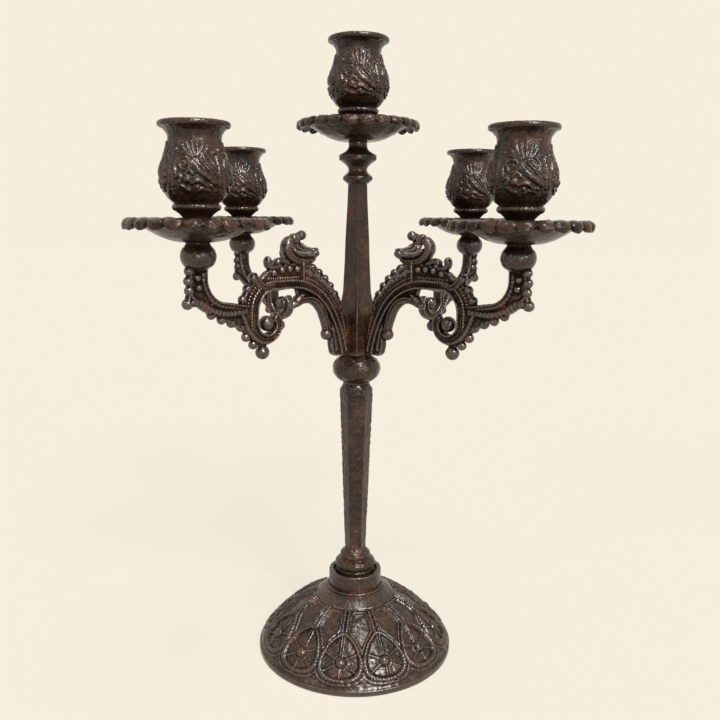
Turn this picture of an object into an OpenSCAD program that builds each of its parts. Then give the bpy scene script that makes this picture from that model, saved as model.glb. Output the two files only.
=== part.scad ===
// Five-light candelabra in cast iron: a domed base, a column in three castings on a
// tie rod, four scroll arms keyed into the column, and five drip pans with candle cups.

/* [Base] */
// Diameter of the base at its rim
base_d = 130; // [118:1:150]
// Height of the plain band round the rim
base_band_h = 4; // [3:0.5:6]
// Height of the dome where it meets the collar
dome_h = 42.4; // [38:0.2:50]
// Thickness of the cast wall of the base
base_wall = 4; // [3:0.5:5]
// Radius of the ledge round the plain top of the dome
ledge_r = 26.4; // [24:0.2:31]
// Drop of the ledge
ledge_step = 1.2; // [0.6:0.1:2]
// Diameter of the collar
collar_d = 35; // [33:0.5:38]
// Height of the collar above the dome
collar_h = 12.1; // [9:0.1:16]
// Depth of the recess that takes the foot of the column
collar_recess = 2; // [1:0.25:3]
// Number of medallions round the dome
medallion_count = 12; // [10:1:12]
// Radius of a medallion ring to its middle line
medallion_r = 11.6; // [10.5:0.1:12.4]
// Width of the raised lines of the ornament
relief_w = 2.3; // [1.4:0.1:2.6]
// Height of the raised lines above the dome
relief_h = 1.1; // [0.6:0.1:1.6]
// Radius of the boss in the middle of a medallion
boss_r = 2.8; // [2:0.1:3.2]

/* [Lower column] */
// Height of the hexagonal column from its seat to its top
lower_h = 130.3; // [110:0.1:160]
// Width of the hexagon over its corners at the shoulder
hex_top_d = 21.7; // [19:0.1:24]
// Width of the hexagon over its corners at the foot
hex_foot_d = 13.4; // [12.5:0.1:16]
// Diameter of the round neck under the ring knob
lower_neck_d = 17.8; // [16:0.1:19]
// Diameter of the large bead at the foot
foot_bead_d = 26.8; // [25:0.1:28]
// Diameter of the small bead above it
small_bead_d = 20.3; // [18:0.1:22]

/* [Ring knob] */
// Diameter of the ring knob
knob_d = 30.9; // [27:0.1:36]
// Height of the ring knob
knob_h = 19.2; // [16:0.1:21]
// Diameter of the flat ends of the ring knob
knob_neck_d = 18.6; // [17.8:0.1:20]

/* [Upper column] */
// Height of the upper column from the ring knob to the seat of the top pan
upper_h = 131.4; // [120:0.1:150]
// Width over the flats of the square core that carries the arms
core_w = 18.8; // [17.5:0.1:21]
// Height of the square core
core_h = 26; // [24:0.1:30]
// Width over the flats of the stem above the flare
stem_foot_w = 12.4; // [11:0.1:14]
// Width over the flats of the stem under the knops
stem_top_w = 8.8; // [8:0.1:10]
// Diameter of the upper knop
upper_knop_d = 23; // [19:0.1:26]
// Diameter of the lower knop
lower_knop_d = 18.3; // [15:0.1:21]
// Diameter of the neck and the waist of the knops
upper_neck_d = 11.4; // [10.5:0.1:13]

/* [Arms] */
// Distance from the seat of an arm to the middle of its cup
arm_span = 108.6; // [95:0.2:125]
// Thickness of the flat web of an arm
arm_web_t = 4.6; // [3.6:0.1:6]
// Thickness of the main rib of an arm at its root
arm_rib_t = 6.8; // [6:0.1:8]
// Diameter of the ball under a pan
arm_ball_d = 18.8; // [16:0.1:21]
// Diameter of the neck above that ball
arm_neck_d = 12.8; // [11.5:0.1:14]
// Height of the dovetail key
key_h = 22; // [18:0.5:23]
// Width of the dovetail key at its neck
key_neck_w = 3.6; // [3:0.1:4.2]
// Width of the dovetail key at its back
key_back_w = 5.2; // [4.6:0.1:6]
// Depth of the dovetail key
key_depth = 2.6; // [2:0.1:3]

/* [Drip pans] */
// Diameter of a pan over its lobes
pan_d = 76; // [68:0.5:84]
// Height of the brim above the underside of the pan
pan_depth = 9.2; // [8:0.1:12]
// Thickness of the pan
pan_wall = 2.4; // [2:0.1:3]
// Number of lobes round the brim
lobe_count = 24; // [20:1:26]
// Radius of the dish inside the brim
dish_r = 26; // [23:0.5:28]

/* [Candle cups] */
// Height of a candle cup
cup_h = 58; // [50:0.5:66]
// Diameter of the rim of a cup
cup_rim_d = 37; // [34:0.5:41]
// Diameter of the socket, for a 22 mm candle
socket_d = 22.3; // [21:0.1:23.5]
// Depth of the socket
socket_depth = 34; // [28:0.5:36]
// Diameter of the flared mouth of the socket
mouth_d = 31; // [28:0.5:32]

/* [Tie rod and screws] */
// Diameter of the tie rod
rod_d = 8; // [6:0.5:8]
// Length of rod that is screwed into the upper column
rod_grip = 25; // [18:0.5:28]
// Width of the base nut over its flats
nut_w = 13; // [11:0.5:14]
// Height of the base nut
nut_h = 6.5; // [5:0.5:8]
// Diameter of the base washer
washer_d = 20; // [16:0.5:22]
// Thickness of the base washer
washer_t = 1.6; // [1:0.1:2.5]
// Diameter of a cup screw
screw_d = 5; // [4:0.5:5]
// Diameter of the head of a cup screw
screw_head_d = 9.5; // [8:0.1:10]
// Height of the head of a cup screw
screw_head_h = 3.3; // [2.5:0.1:4]
// Length of screw that is screwed into an arm or the column
screw_grip = 13; // [10:0.5:14]
// Gap all round between pieces that slide together
slip = 0.15; // [0.1:0.05:0.25]

/* [Hidden] */

$fn = 48;

// Azimuths of the arms, in degrees from +X
front_left_angle = 225;
front_right_angle = 315;
rear_left_angle = 135;
rear_right_angle = 45;
// Mark of the light that stands on the column instead of on an arm
top_light = -1;

// Overrun of every cut
cut = 1;
// Small overlap by which shapes of one casting run into each other
lap = 0.15;

// Heights where the pieces meet, from the floor up
collar_top = dome_h + collar_h;
column_z = collar_top - collar_recess;
knob_z = column_z + lower_h;
upper_z = knob_z + knob_h;
top_seat_z = upper_z + upper_h;

// Holes for the tie rod and for the cup screws
rod_hole_d = rod_d + 2 * slip;
screw_hole_d = screw_d + 2 * slip;

// One point of the smooth curve through four others, between the second and the third
function smooth_point(a, b, c, d, t) =
    (2 * b + (c - a) * t + (2 * a - 5 * b + 4 * c - d) * t * t + (3 * b - a - 3 * c + d) * t * t * t) / 2;

// Smooth curve through a list of points
function smooth(points, steps) = let (last = len(points) - 1) concat(
    [for (i = [0 : last - 1], k = [0 : steps - 1])
        smooth_point(points[max(i - 1, 0)], points[i], points[i + 1], points[min(i + 2, last)], k / steps)],
    [points[last]]);

// Points given as shares of a radius and a height
function scaled(shares, r, h) = [for (p = shares) [p.x * r, p.y * h]];

// A round hole from a height up, overrun at its open upper end
module hole_up(z, h, d) {
    translate([0, 0, z]) cylinder(h = h + cut, d = d);
}

// A round hole right through, overrun at both ends
module hole_through(z, h, d) {
    translate([0, 0, z - cut]) cylinder(h = h + 2 * cut, d = d);
}

// Section of a disc with a round edge, from the axis out, centred on its own height
module bead_section(d, h) {
    translate([0, -h / 2]) square([(d - h) / 2, h]);
    intersection() {
        translate([(d - h) / 2, 0]) circle(d = h);
        translate([0, -h / 2]) square([d / 2, h]);
    }
}

// A bar with a tapered outline, given as half widths and heights, that runs right across
module taper_slab(outline, length) {
    rotate([90, 0, 0]) linear_extrude(height = length, center = true) polygon(concat(
        outline, [for (i = [len(outline) - 1 : -1 : 0]) [-outline[i].x, outline[i].y]]));
}

// Base

// How fast the dome falls towards the rim, and the radii of the points of its curve
dome_power = 2.1;
dome_point_shares = [0.26, 0.44, 0.62, 0.78, 0.9, 1];
// Width of the step between the edge of the dome and the rim, and inset of the ornament from it
rim_step = 0.55;
ornament_inset = 0.15;
dome_edge_r = base_d / 2 - rim_step;
// Circle on which the medallions stand, as a share of the edge of the dome
medallion_orbit_share = 0.795;
medallion_orbit_r = medallion_orbit_share * dome_edge_r;
// How far the boss stands outside the middle of its medallion
boss_shift = 2.3;
// Turn of the ornament against the arms, in degrees
base_turn = 5;
// Thickness of the floor under the column, and of the wall of the collar
seat_floor = 6.5;
collar_wall = 5;
seat_ceiling = column_z - seat_floor;
// Gap round the foot of the column in its recess
recess_gap = 1.1;
// Spigot that centres the column in the base
spigot_d = 16;
spigot_h = 3;

// Height of the dome at a radius
function dome_z(r, edge) = base_band_h + (dome_h - base_band_h) * (1 - pow(r / edge, dome_power));

// Solid dome out to an edge, raised by a lift
module dome_solid(edge, lift) {
    rotate_extrude() polygon(concat(
        [[0, 0], [0, dome_h + lift]],
        [for (share = dome_point_shares) [share * edge, dome_z(share * edge, edge) + lift]],
        [[edge, 0]]));
}

// Copies of a part of the ornament, one at each medallion
module round_dome() {
    for (i = [0 : medallion_count - 1])
        rotate([0, 0, (i + 0.5) * 360 / medallion_count + base_turn])
            translate([medallion_orbit_r, 0]) children();
}

// What the dome raised by a lift holds over a plan, just inside its edge
module raised(lift) {
    intersection() {
        dome_solid(dome_edge_r, lift);
        translate([0, 0, base_band_h / 2]) linear_extrude(height = collar_top) intersection() {
            children();
            circle(r = dome_edge_r - ornament_inset);
        }
    }
}

module medallion_lines() {
    rib = medallion_orbit_r - ledge_r + relief_w;
    difference() {
        circle(r = medallion_r + relief_w / 2);
        circle(r = medallion_r - relief_w / 2);
    }
    translate([-rib, -relief_w / 2]) square([rib + boss_shift, relief_w]);
}

module crown() {
    crown_z = dome_z(ledge_r, dome_edge_r) + ledge_step;
    rotate_extrude()
        polygon([[0, 0], [0, dome_h], [collar_d / 2, dome_h], [ledge_r, crown_z], [ledge_r, 0]]);
    cylinder(h = collar_top, d = collar_d);
}

module base() {
    color([0.17, 0.12, 0.10]) difference() {
        union() {
            dome_solid(dome_edge_r, 0);
            cylinder(h = base_band_h, d = base_d);
            raised(relief_h) round_dome() medallion_lines();
            raised(2 * relief_h) round_dome() translate([boss_shift, 0]) circle(r = boss_r);
            crown();
        }
        translate([0, 0, -base_wall]) dome_solid(dome_edge_r - base_wall, 0);
        translate([0, 0, base_band_h])
            cylinder(h = seat_ceiling - base_band_h, d = collar_d - 2 * collar_wall);
        hole_up(column_z, collar_recess, foot_bead_d + 2 * recess_gap);
        hole_up(column_z - spigot_h, spigot_h, spigot_d + 2 * slip);
        hole_through(0, collar_top, rod_hole_d);
    }
}

// Lower column

// Heights along the lower column, as shares of its height
hex_start_share = 0.067;
hex_foot_share = 0.134;
shoulder_share = 0.957;
neck_share = 0.99;
small_bead_share = 0.09;
large_bead_share = 0.047;
// Heights of the two beads, as shares of their diameters
small_bead_h_share = 0.24;
large_bead_h_share = 0.25;
// Thickness of the foot under the large bead and of the stem under the small one, as shares
foot_share = 0.95;
foot_stem_share = 0.8;
// Radius at which the chamfer of the shoulder starts, as a share of the hexagon over its corners
shoulder_chamfer_share = 0.59;

// A thin hexagonal slice of the shaft, with flats to the front and back
module hex_slice(z, d) {
    translate([0, 0, z]) cylinder(h = lap, d = d, $fn = 6);
}

module hex_shaft() {
    shoulder_z = shoulder_share * lower_h;
    chamfer_r = shoulder_chamfer_share * hex_top_d;
    intersection() {
        hull() {
            hex_slice(hex_start_share * lower_h, hex_foot_d);
            hex_slice(shoulder_z, hex_top_d);
            hex_slice(neck_share * lower_h, hex_top_d);
        }
        rotate_extrude()
            polygon([[0, 0], [chamfer_r, 0], [chamfer_r, shoulder_z], [0, shoulder_z + chamfer_r]]);
    }
}

// Section of the turned foot: spigot, foot, large bead, small bead and cone up to the hexagon
module foot_section() {
    large_z = large_bead_share * lower_h;
    small_z = small_bead_share * lower_h;
    foot_r = foot_share * foot_bead_d / 2;
    stem_r = foot_stem_share * small_bead_d / 2;
    cone_r = hex_foot_d * cos(30) / 2 - lap;
    cone_z = hex_foot_share * lower_h;
    polygon([[0, -spigot_h], [spigot_d / 2, -spigot_h], [spigot_d / 2, 0], [foot_r, 0], [foot_r, large_z],
             [stem_r, large_z], [stem_r, small_z], [cone_r, cone_z], [0, cone_z]]);
    translate([0, large_z]) bead_section(foot_bead_d, large_bead_h_share * foot_bead_d);
    translate([0, small_z]) bead_section(small_bead_d, small_bead_h_share * small_bead_d);
}

module lower_column() {
    shoulder_z = shoulder_share * lower_h;
    color([0.19, 0.13, 0.10]) translate([0, 0, column_z]) difference() {
        union() {
            hex_shaft();
            rotate_extrude() foot_section();
            translate([0, 0, shoulder_z]) cylinder(h = lower_h - shoulder_z, d = lower_neck_d);
        }
        hole_through(-spigot_h, lower_h + spigot_h, rod_hole_d);
    }
}

// Ring knob

module ring_knob() {
    color([0.20, 0.13, 0.10]) translate([0, 0, knob_z]) difference() {
        rotate_extrude() intersection() {
            union() {
                translate([(knob_d - knob_h) / 2, knob_h / 2]) circle(d = knob_h);
                square([knob_neck_d / 2, knob_h]);
            }
            square([knob_d / 2, knob_h]);
        }
        hole_through(0, knob_h, rod_hole_d);
    }
}

// Upper column

// Heights along the upper column, as shares of its height
stem_foot_share = 0.36;
stem_top_share = 0.8;
lower_knop_share = 0.832;
waist_share = 0.875;
upper_knop_share = 0.93;
upper_neck_share = 0.965;
// Heights of the flat edges of the knops, as shares of their diameters
upper_edge_share = 0.115;
lower_edge_share = 0.09;
// Where the flare above the core starts and is halfway, as shares of the height of the core
flare_start_share = 0.87;
flare_middle_share = 1.25;
// Width over the chamfers of the stem, as a share of its width over the corners
chamfer_share = 0.96;
corner_share = sqrt(2) * chamfer_share;

// Outline of the stem on one side: half widths over the flats, or over the chamfered corners
function stem_outline(across, core_share) = [
    [core_share * core_w / 2, 0], [core_share * core_w / 2, flare_start_share * core_h],
    [across * (core_w + stem_foot_w) / 4, flare_middle_share * core_h],
    [across * stem_foot_w / 2, stem_foot_share * upper_h],
    [across * stem_top_w / 2, stem_top_share * upper_h]];

// Half of the outline of a knop with a flat edge
function knop_edge(d, edge_share, z_share) = [
    [d / 2, z_share * upper_h - edge_share * d / 2], [d / 2, z_share * upper_h + edge_share * d / 2]];

module stem() {
    intersection() {
        rotate([0, 0, 45]) taper_slab(stem_outline(1, 1), 2 * core_w);
        rotate([0, 0, 135]) taper_slab(stem_outline(1, 1), 2 * core_w);
        taper_slab(stem_outline(corner_share, sqrt(2)), 2 * core_w);
        rotate([0, 0, 90]) taper_slab(stem_outline(corner_share, sqrt(2)), 2 * core_w);
    }
}

module knops() {
    top = stem_top_share * upper_h;
    rotate_extrude() polygon(concat(
        [[0, top - cut], [stem_top_w / 2 - lap, top - cut], [corner_share * stem_top_w / 2, top]],
        knop_edge(lower_knop_d, lower_edge_share, lower_knop_share),
        [[upper_neck_d / 2, waist_share * upper_h]],
        knop_edge(upper_knop_d, upper_edge_share, upper_knop_share),
        [[upper_neck_d / 2, upper_neck_share * upper_h], [upper_neck_d / 2, upper_h], [0, upper_h]]));
}

// Plan of a dovetail key with its neck at the origin, grown by a clearance
module key_plan(grow) {
    neck = key_neck_w / 2 + grow;
    back = key_back_w / 2 + grow;
    bottom = -key_depth - grow;
    polygon([[cut, -neck], [0, -neck], [bottom, -back], [bottom, back], [0, neck], [cut, neck]]);
}

module upper_column() {
    color([0.19, 0.14, 0.12]) translate([0, 0, upper_z]) difference() {
        union() {
            stem();
            knops();
        }
        translate([0, 0, -cut]) cylinder(h = rod_grip + 2 * cut, d = rod_hole_d);
        hole_up(upper_h - screw_grip - cut, screw_grip + cut, screw_hole_d);
        for (azimuth = [front_left_angle, front_right_angle, rear_left_angle, rear_right_angle])
            rotate([0, 0, azimuth]) translate([core_w / 2, 0, -cut])
                linear_extrude(height = key_h + cut) key_plan(slip);
    }
}

// Tie rod, washer and nut

// Length of rod that stands out below the nut
rod_stub = 2;

module tie_rod() {
    bottom = seat_ceiling - washer_t - nut_h - rod_stub;
    color([0.42, 0.40, 0.38]) translate([0, 0, bottom])
        cylinder(h = upper_z + rod_grip - bottom, d = rod_d);
}

module base_washer() {
    color([0.48, 0.46, 0.43]) translate([0, 0, seat_ceiling - washer_t]) difference() {
        cylinder(h = washer_t, d = washer_d);
        hole_through(0, washer_t, rod_hole_d);
    }
}

module base_nut() {
    color([0.45, 0.43, 0.40]) translate([0, 0, seat_ceiling - washer_t - nut_h]) difference() {
        cylinder(h = nut_h, d = nut_w / cos(30), $fn = 6);
        hole_through(0, nut_h, rod_hole_d);
    }
}

// Arms: places in the plane of an arm are shares of its span, from the foot of its seat

arm_seat_share = 0.674;
ball_share = 0.614;
// Height of the ball under a pan, as a share of its diameter
ball_h_share = 0.62;
arm_seat_h = arm_seat_share * arm_span;
side_seat_z = upper_z + arm_seat_h;
arm_r = core_w / 2 + arm_span;
// Radii of a thin rib and of a bead, as shares of the span
thin_rib_share = 0.0225;
bead_share = 0.0255;
thin_rib_r = thin_rib_share * arm_span;
bead_r = bead_share * arm_span;
// Taper of a rib from one bend to the next, and how far a bend starts inside the last one, as
// shares of the radius of the rib
taper_share = 0.96;
lap_share = 0.2;

// Ribs: first point, heading in degrees, then radius and turn of each bend, where a turn of 0
// is a straight, and last the radii of the balls at the two ends as shares of the rib, or 0
scroll_shares = [[0.0405, 0.0166], 80, [[0.7366, -22], [0.3499, -58], [0.1133, 0], [0.1344, -90],
                  [0.0552, 0], [0.0921, -90], [0.0737, -90], [0.0516, -70]], [0, 1.55]];
cee_shares = [[0.985, 0.59], -90, [[0.09, 0], [0.1455, -80], [0.16, 0]], [0, 0]];
spur_shares = [[1.068, 0.379], 150, [[0.0645, 68], [0.276, -42], [0.1, 0]], [1.2, 0]];
leaf_shares = [[0.4217, 0.3444], 152, [[0.1814, 123]], [0, 1.5]];
crest_shares = [[0.4328, 0.687], -65, [[0.09, -115], [0.15, -32]], [1.06, 1.06]];
curl_shares = [[0.53, 0.438], 0, [[0.12, 65]], [0, 1.25]];

// Post under the large leaf: foot and height
post_share = [0.354, 0.45];
post_h_share = 0.11;
// Arch of the shoulder: centre, radii of its web and of its row of beads, and width of the web
arch_centre_share = [0.4383, 0.0939];
arch_web_r_share = 0.38;
arch_bead_r_share = 0.414;
arch_web_w_share = 0.075;
arch_angles = [95, 153];
arch_bead_angles = [110 : 8.6 : 155];
// Beads by hand: crest row, pair inside the C, outer row of the upright, row under the arm
bead_place_shares = [
    [0.41, 0.5], [0.465, 0.503], [0.52, 0.5], [0.572, 0.488], [0.745, 0.378], [0.715, 0.425],
    [1.062, 0.535], [1.068, 0.485], [1.062, 0.435],
    [0.938, 0.315], [0.88, 0.285], [0.819, 0.261], [0.758, 0.232], [0.729, 0.18], [0.683, 0.136]];
// Large bead that hangs lowest, and its radius
drop_place_share = [0.6215, 0.093];
drop_r_share = 0.038;
// Outlines of the flat webs: root, crest, outer part with the upright, haunch of the spiral, and
// web between the arch and the leaf under it
web_shares = [
    [[0, 0.008], [0, 0.22], [0.02, 0.235], [0.1, 0.33], [0.16, 0.26], [0.13, 0.1], [0.145, 0.06],
     [0.13, 0.02], [0.11, 0.008]],
    [[0.33, 0.44], [0.37, 0.52], [0.5, 0.525], [0.59, 0.5], [0.66, 0.42], [0.56, 0.43], [0.45, 0.44]],
    [[0.965, 0.58], [1.06, 0.56], [1.075, 0.42], [1, 0.36], [0.86, 0.28], [0.72, 0.2], [0.66, 0.13],
     [0.62, 0.13], [0.7, 0.24], [0.7, 0.33], [0.8, 0.34], [0.9, 0.37], [0.96, 0.46]],
    [[0.6, 0.44], [0.72, 0.44], [0.76, 0.36], [0.74, 0.3], [0.69, 0.3], [0.68, 0.36]],
    [[0.1, 0.2], [0.155, 0.17], [0.18, 0.275], [0.246, 0.342], [0.337, 0.366], [0.42, 0.345],
     [0.47, 0.38], [0.44, 0.43], [0.3, 0.41], [0.16, 0.31]]];

// A section swept round a centre, from one angle through a turn
module bend(centre, r, from, turn) {
    translate(centre) rotate([0, 0, from]) rotate_extrude(angle = turn) translate([r, 0]) children();
}

// A round rib through a chain of tangent bends and straights; each is a little thinner than
// the one before and starts just inside it
module rib_chain(start, heading, steps, r, end_share, i = 0) {
    if (i == len(steps)) {
        if (end_share > 0) translate(start) sphere(r = end_share * r / taper_share);
    } else {
        size = steps[i][0] * arm_span;
        turn = steps[i][1];
        side = turn < 0 ? -1 : 1;
        along = [cos(heading), sin(heading)];
        back = i == 0 ? 0 : lap_share * r;
        if (turn == 0) {
            translate(start - back * along) rotate([0, 0, heading]) rotate([0, 90, 0])
                cylinder(h = size + back, r = r);
            rib_chain(start + size * along, heading, steps, taper_share * r, end_share, i + 1);
        } else {
            centre = start + size * side * [-along.y, along.x];
            first = heading - 90 * side;
            more = back / size * 180 / PI;
            bend(centre, size, side < 0 ? first + turn : first - more, abs(turn) + more) circle(r = r);
            rib_chain(centre + size * [cos(first + turn), sin(first + turn)], heading + turn, steps,
                taper_share * r, end_share, i + 1);
        }
    }
}

// A rib of the arm with the balls at its ends
module rib(shape, r) {
    if (shape[3][0] > 0) translate(shape[0] * arm_span) sphere(r = shape[3][0] * r);
    rib_chain(shape[0] * arm_span, shape[1], shape[2], r, shape[3][1]);
}

module ball(place_share, r) {
    translate(place_share * arm_span) sphere(r = r);
}

module arm_ribs() {
    rib(scroll_shares, arm_rib_t / 2);
    rib(cee_shares, thin_rib_r);
    rib(spur_shares, thin_rib_r);
    rib(leaf_shares, thin_rib_r);
    rib(crest_shares, arm_rib_t / 2);
    rib(curl_shares, thin_rib_r);
    translate(post_share * arm_span) rotate([-90, 0, 0])
        cylinder(h = post_h_share * arm_span, r = bead_r / 2);
}

module arm_beads() {
    for (place = bead_place_shares) ball(place, bead_r);
    for (angle = arch_bead_angles)
        ball(arch_centre_share + arch_bead_r_share * [cos(angle), sin(angle)], bead_r);
    ball(drop_place_share, drop_r_share * arm_span);
}

// Plan of the web that follows the arch, between two angles
module arch_plan() {
    inner = (arch_web_r_share - arch_web_w_share / 2) * arm_span;
    outer = (arch_web_r_share + arch_web_w_share / 2) * arm_span;
    translate(arch_centre_share * arm_span) intersection() {
        difference() {
            circle(r = outer);
            circle(r = inner);
        }
        polygon([[0, 0], for (angle = arch_angles) 2 * outer * [cos(angle), sin(angle)]]);
    }
}

module arm_webs() {
    linear_extrude(height = arm_web_t, center = true) {
        for (shares = web_shares) polygon(shares * arm_span);
        arch_plan();
    }
}

module arm(azimuth) {
    ball_z = ball_share * arm_span;
    color([0.18, 0.13, 0.11]) rotate([0, 0, azimuth]) translate([core_w / 2, 0, upper_z]) difference() {
        union() {
            rotate([90, 0, 0]) {
                arm_webs();
                arm_ribs();
                arm_beads();
            }
            linear_extrude(height = key_h - slip) key_plan(0);
            translate([arm_span, 0, ball_z]) rotate_extrude()
                bead_section(arm_ball_d, ball_h_share * arm_ball_d);
            translate([arm_span, 0, ball_z]) cylinder(h = arm_seat_h - ball_z, d = arm_neck_d);
        }
        translate([arm_span, 0, 0]) hole_up(arm_seat_h - screw_grip - cut, screw_grip + cut, screw_hole_d);
    }
}

module arm_front_left() { arm(front_left_angle); }
module arm_front_right() { arm(front_right_angle); }
module arm_rear_left() { arm(rear_left_angle); }
module arm_rear_right() { arm(rear_right_angle); }

// Stands the parts of a light on its seat: on the column, or on the arm at an azimuth
module at_light(azimuth) {
    if (azimuth == top_light) translate([0, 0, top_seat_z]) children();
    else rotate([0, 0, azimuth]) translate([arm_r, 0, side_seat_z]) children();
}

// Candle cups

// Outline of a cup as shares of the radius of its rim and of its height: foot, then body
cup_foot_shares = [[0.46, 0], [0.46, 0.025], [0.36, 0.07], [0.325, 0.13], [0.33, 0.2], [0.42, 0.245],
                   [0.63, 0.295]];
cup_body_shares = [[0.6, 0.35], [0.84, 0.42], [0.99, 0.525], [0.935, 0.65], [0.79, 0.75], [0.745, 0.835],
                   [0.81, 0.915], [0.91, 0.955]];
cup_curve_steps = 3;
// Bead under the body, and lip
cup_bead_share = [0.605, 0.32];
cup_bead_r_share = 0.1;
cup_lip_share = [0.905, 0.968];
cup_lip_r_share = 0.095;
// Depth of the flared mouth of the socket, as a share of the height of the cup
mouth_share = 0.15;
cup_rim_r = cup_rim_d / 2;
cup_foot_r = cup_foot_shares[0].x * cup_rim_r;
// Height of the floor of a socket above the seat of its light; the screw is sunk flush in it
socket_z = pan_wall + cup_h - socket_depth;

// What a round bead adds to the section of a cup, from the axis out to its edge
module cup_bead(place_share, r_share, top_z) {
    place = [place_share.x * cup_rim_r, place_share.y * cup_h];
    r = r_share * cup_rim_r;
    intersection() {
        union() {
            translate(place) circle(r = r);
            translate([0, place.y - r]) square([place.x, 2 * r]);
        }
        square([2 * cup_rim_r, top_z]);
    }
}

module cup(azimuth) {
    mouth = mouth_share * cup_h;
    color([0.18, 0.13, 0.11]) at_light(azimuth) translate([0, 0, pan_wall]) difference() {
        rotate_extrude() union() {
            polygon(concat([[0, 0]], scaled(cup_foot_shares, cup_rim_r, cup_h),
                smooth(scaled(cup_body_shares, cup_rim_r, cup_h), cup_curve_steps),
                [[0, cup_body_shares[len(cup_body_shares) - 1].y * cup_h]]));
            cup_bead(cup_bead_share, cup_bead_r_share, cup_h);
            cup_bead(cup_lip_share, cup_lip_r_share, cup_h);
        }
        hole_up(cup_h - socket_depth, socket_depth, socket_d);
        translate([0, 0, cup_h - mouth]) cylinder(h = mouth, d1 = socket_d, d2 = mouth_d);
        hole_through(0, cup_h - socket_depth, screw_hole_d);
        hole_up(cup_h - socket_depth - screw_head_h, screw_head_h, screw_head_d + 2 * slip);
    }
}

module cup_top() { cup(top_light); }
module cup_front_left() { cup(front_left_angle); }
module cup_front_right() { cup(front_right_angle); }
module cup_rear_left() { cup(rear_left_angle); }
module cup_rear_right() { cup(rear_right_angle); }

// Drip pans

// Rise of the dish and height of the rolled brim, as shares of the depth
dish_rise_share = 0.82;
brim_h_share = 1.22;
// Radius of the roll and of a lobe, as shares of the radius of the pan
roll_share = 0.13;
lobe_share = 0.135;
// Lowest point of the roll below its middle, as a share of its radius
roll_drop_share = 0.3;
// How far the lobes are drawn out past the roll
lobe_overrun = 0.4;
// Width of the flat floor outside the foot of the cup
floor_margin = 1.1;
pan_floor_r = cup_foot_r + floor_margin;

module pan_section() {
    rise = dish_rise_share * pan_depth;
    bowl_z = (dish_r * dish_r - pan_floor_r * pan_floor_r + rise * rise) / (2 * rise);
    bowl_r = sqrt(pan_floor_r * pan_floor_r + bowl_z * bowl_z);
    roll = roll_share * pan_d / 2;
    roll_x = pan_d / 2 - roll;
    brim_h = brim_h_share * pan_depth;
    roll_z = brim_h - roll;
    square([pan_floor_r, pan_wall]);
    intersection() {
        difference() {
            translate([0, bowl_z]) circle(r = bowl_r, $fn = 4 * $fn);
            translate([0, bowl_z + pan_wall]) circle(r = bowl_r, $fn = 4 * $fn);
        }
        square([dish_r, rise + pan_wall / 2]);
    }
    polygon([[dish_r - pan_wall, rise - pan_wall / 2], [roll_x, brim_h - pan_wall], [roll_x, brim_h],
             [dish_r - pan_wall, rise + pan_wall / 2]]);
    intersection() {
        difference() {
            translate([roll_x, roll_z]) circle(r = roll);
            translate([roll_x, roll_z]) circle(r = roll - pan_wall);
        }
        translate([roll_x - lap, roll_z - roll_drop_share * roll]) square([2 * roll, 2 * roll]);
    }
}

module pan_plan() {
    lobe_r = lobe_share * pan_d / 2;
    circle(r = pan_d / 2 - lobe_r);
    for (i = [0 : lobe_count - 1])
        rotate([0, 0, i * 360 / lobe_count])
            translate([pan_d / 2 - lobe_r + lobe_overrun, 0]) circle(r = lobe_r);
}

module pan(azimuth) {
    color([0.16, 0.12, 0.10]) at_light(azimuth) difference() {
        intersection() {
            rotate_extrude() pan_section();
            translate([0, 0, -cut]) linear_extrude(height = 2 * pan_depth) pan_plan();
        }
        hole_through(0, pan_wall, screw_hole_d);
    }
}

module pan_top() { pan(top_light); }
module pan_front_left() { pan(front_left_angle); }
module pan_front_right() { pan(front_right_angle); }
module pan_rear_left() { pan(rear_left_angle); }
module pan_rear_right() { pan(rear_right_angle); }

// Screws of the cups

// Width and depth of the slot in the head
screw_slot_w = 1.2;
screw_slot_depth = 1.5;

module screw(azimuth) {
    head_z = socket_z - screw_head_h;
    color([0.45, 0.43, 0.40]) at_light(azimuth) difference() {
        union() {
            translate([0, 0, head_z]) cylinder(h = screw_head_h, d = screw_head_d);
            translate([0, 0, -screw_grip]) cylinder(h = head_z + screw_grip, d = screw_d);
        }
        translate([-screw_head_d, -screw_slot_w / 2, socket_z - screw_slot_depth])
            cube([2 * screw_head_d, screw_slot_w, screw_slot_depth + cut]);
    }
}

module screw_top() { screw(top_light); }
module screw_front_left() { screw(front_left_angle); }
module screw_front_right() { screw(front_right_angle); }
module screw_rear_left() { screw(rear_left_angle); }
module screw_rear_right() { screw(rear_right_angle); }

base();
lower_column();
ring_knob();
upper_column();
tie_rod();
base_washer();
base_nut();
arm_front_left();
arm_front_right();
arm_rear_left();
arm_rear_right();
pan_top();
pan_front_left();
pan_front_right();
pan_rear_left();
pan_rear_right();
cup_top();
cup_front_left();
cup_front_right();
cup_rear_left();
cup_rear_right();
screw_top();
screw_front_left();
screw_front_right();
screw_rear_left();
screw_rear_right();
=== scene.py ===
import itertools
import math

import bmesh
import bpy
import numpy as np
from mathutils import Euler, Matrix, Vector


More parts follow.
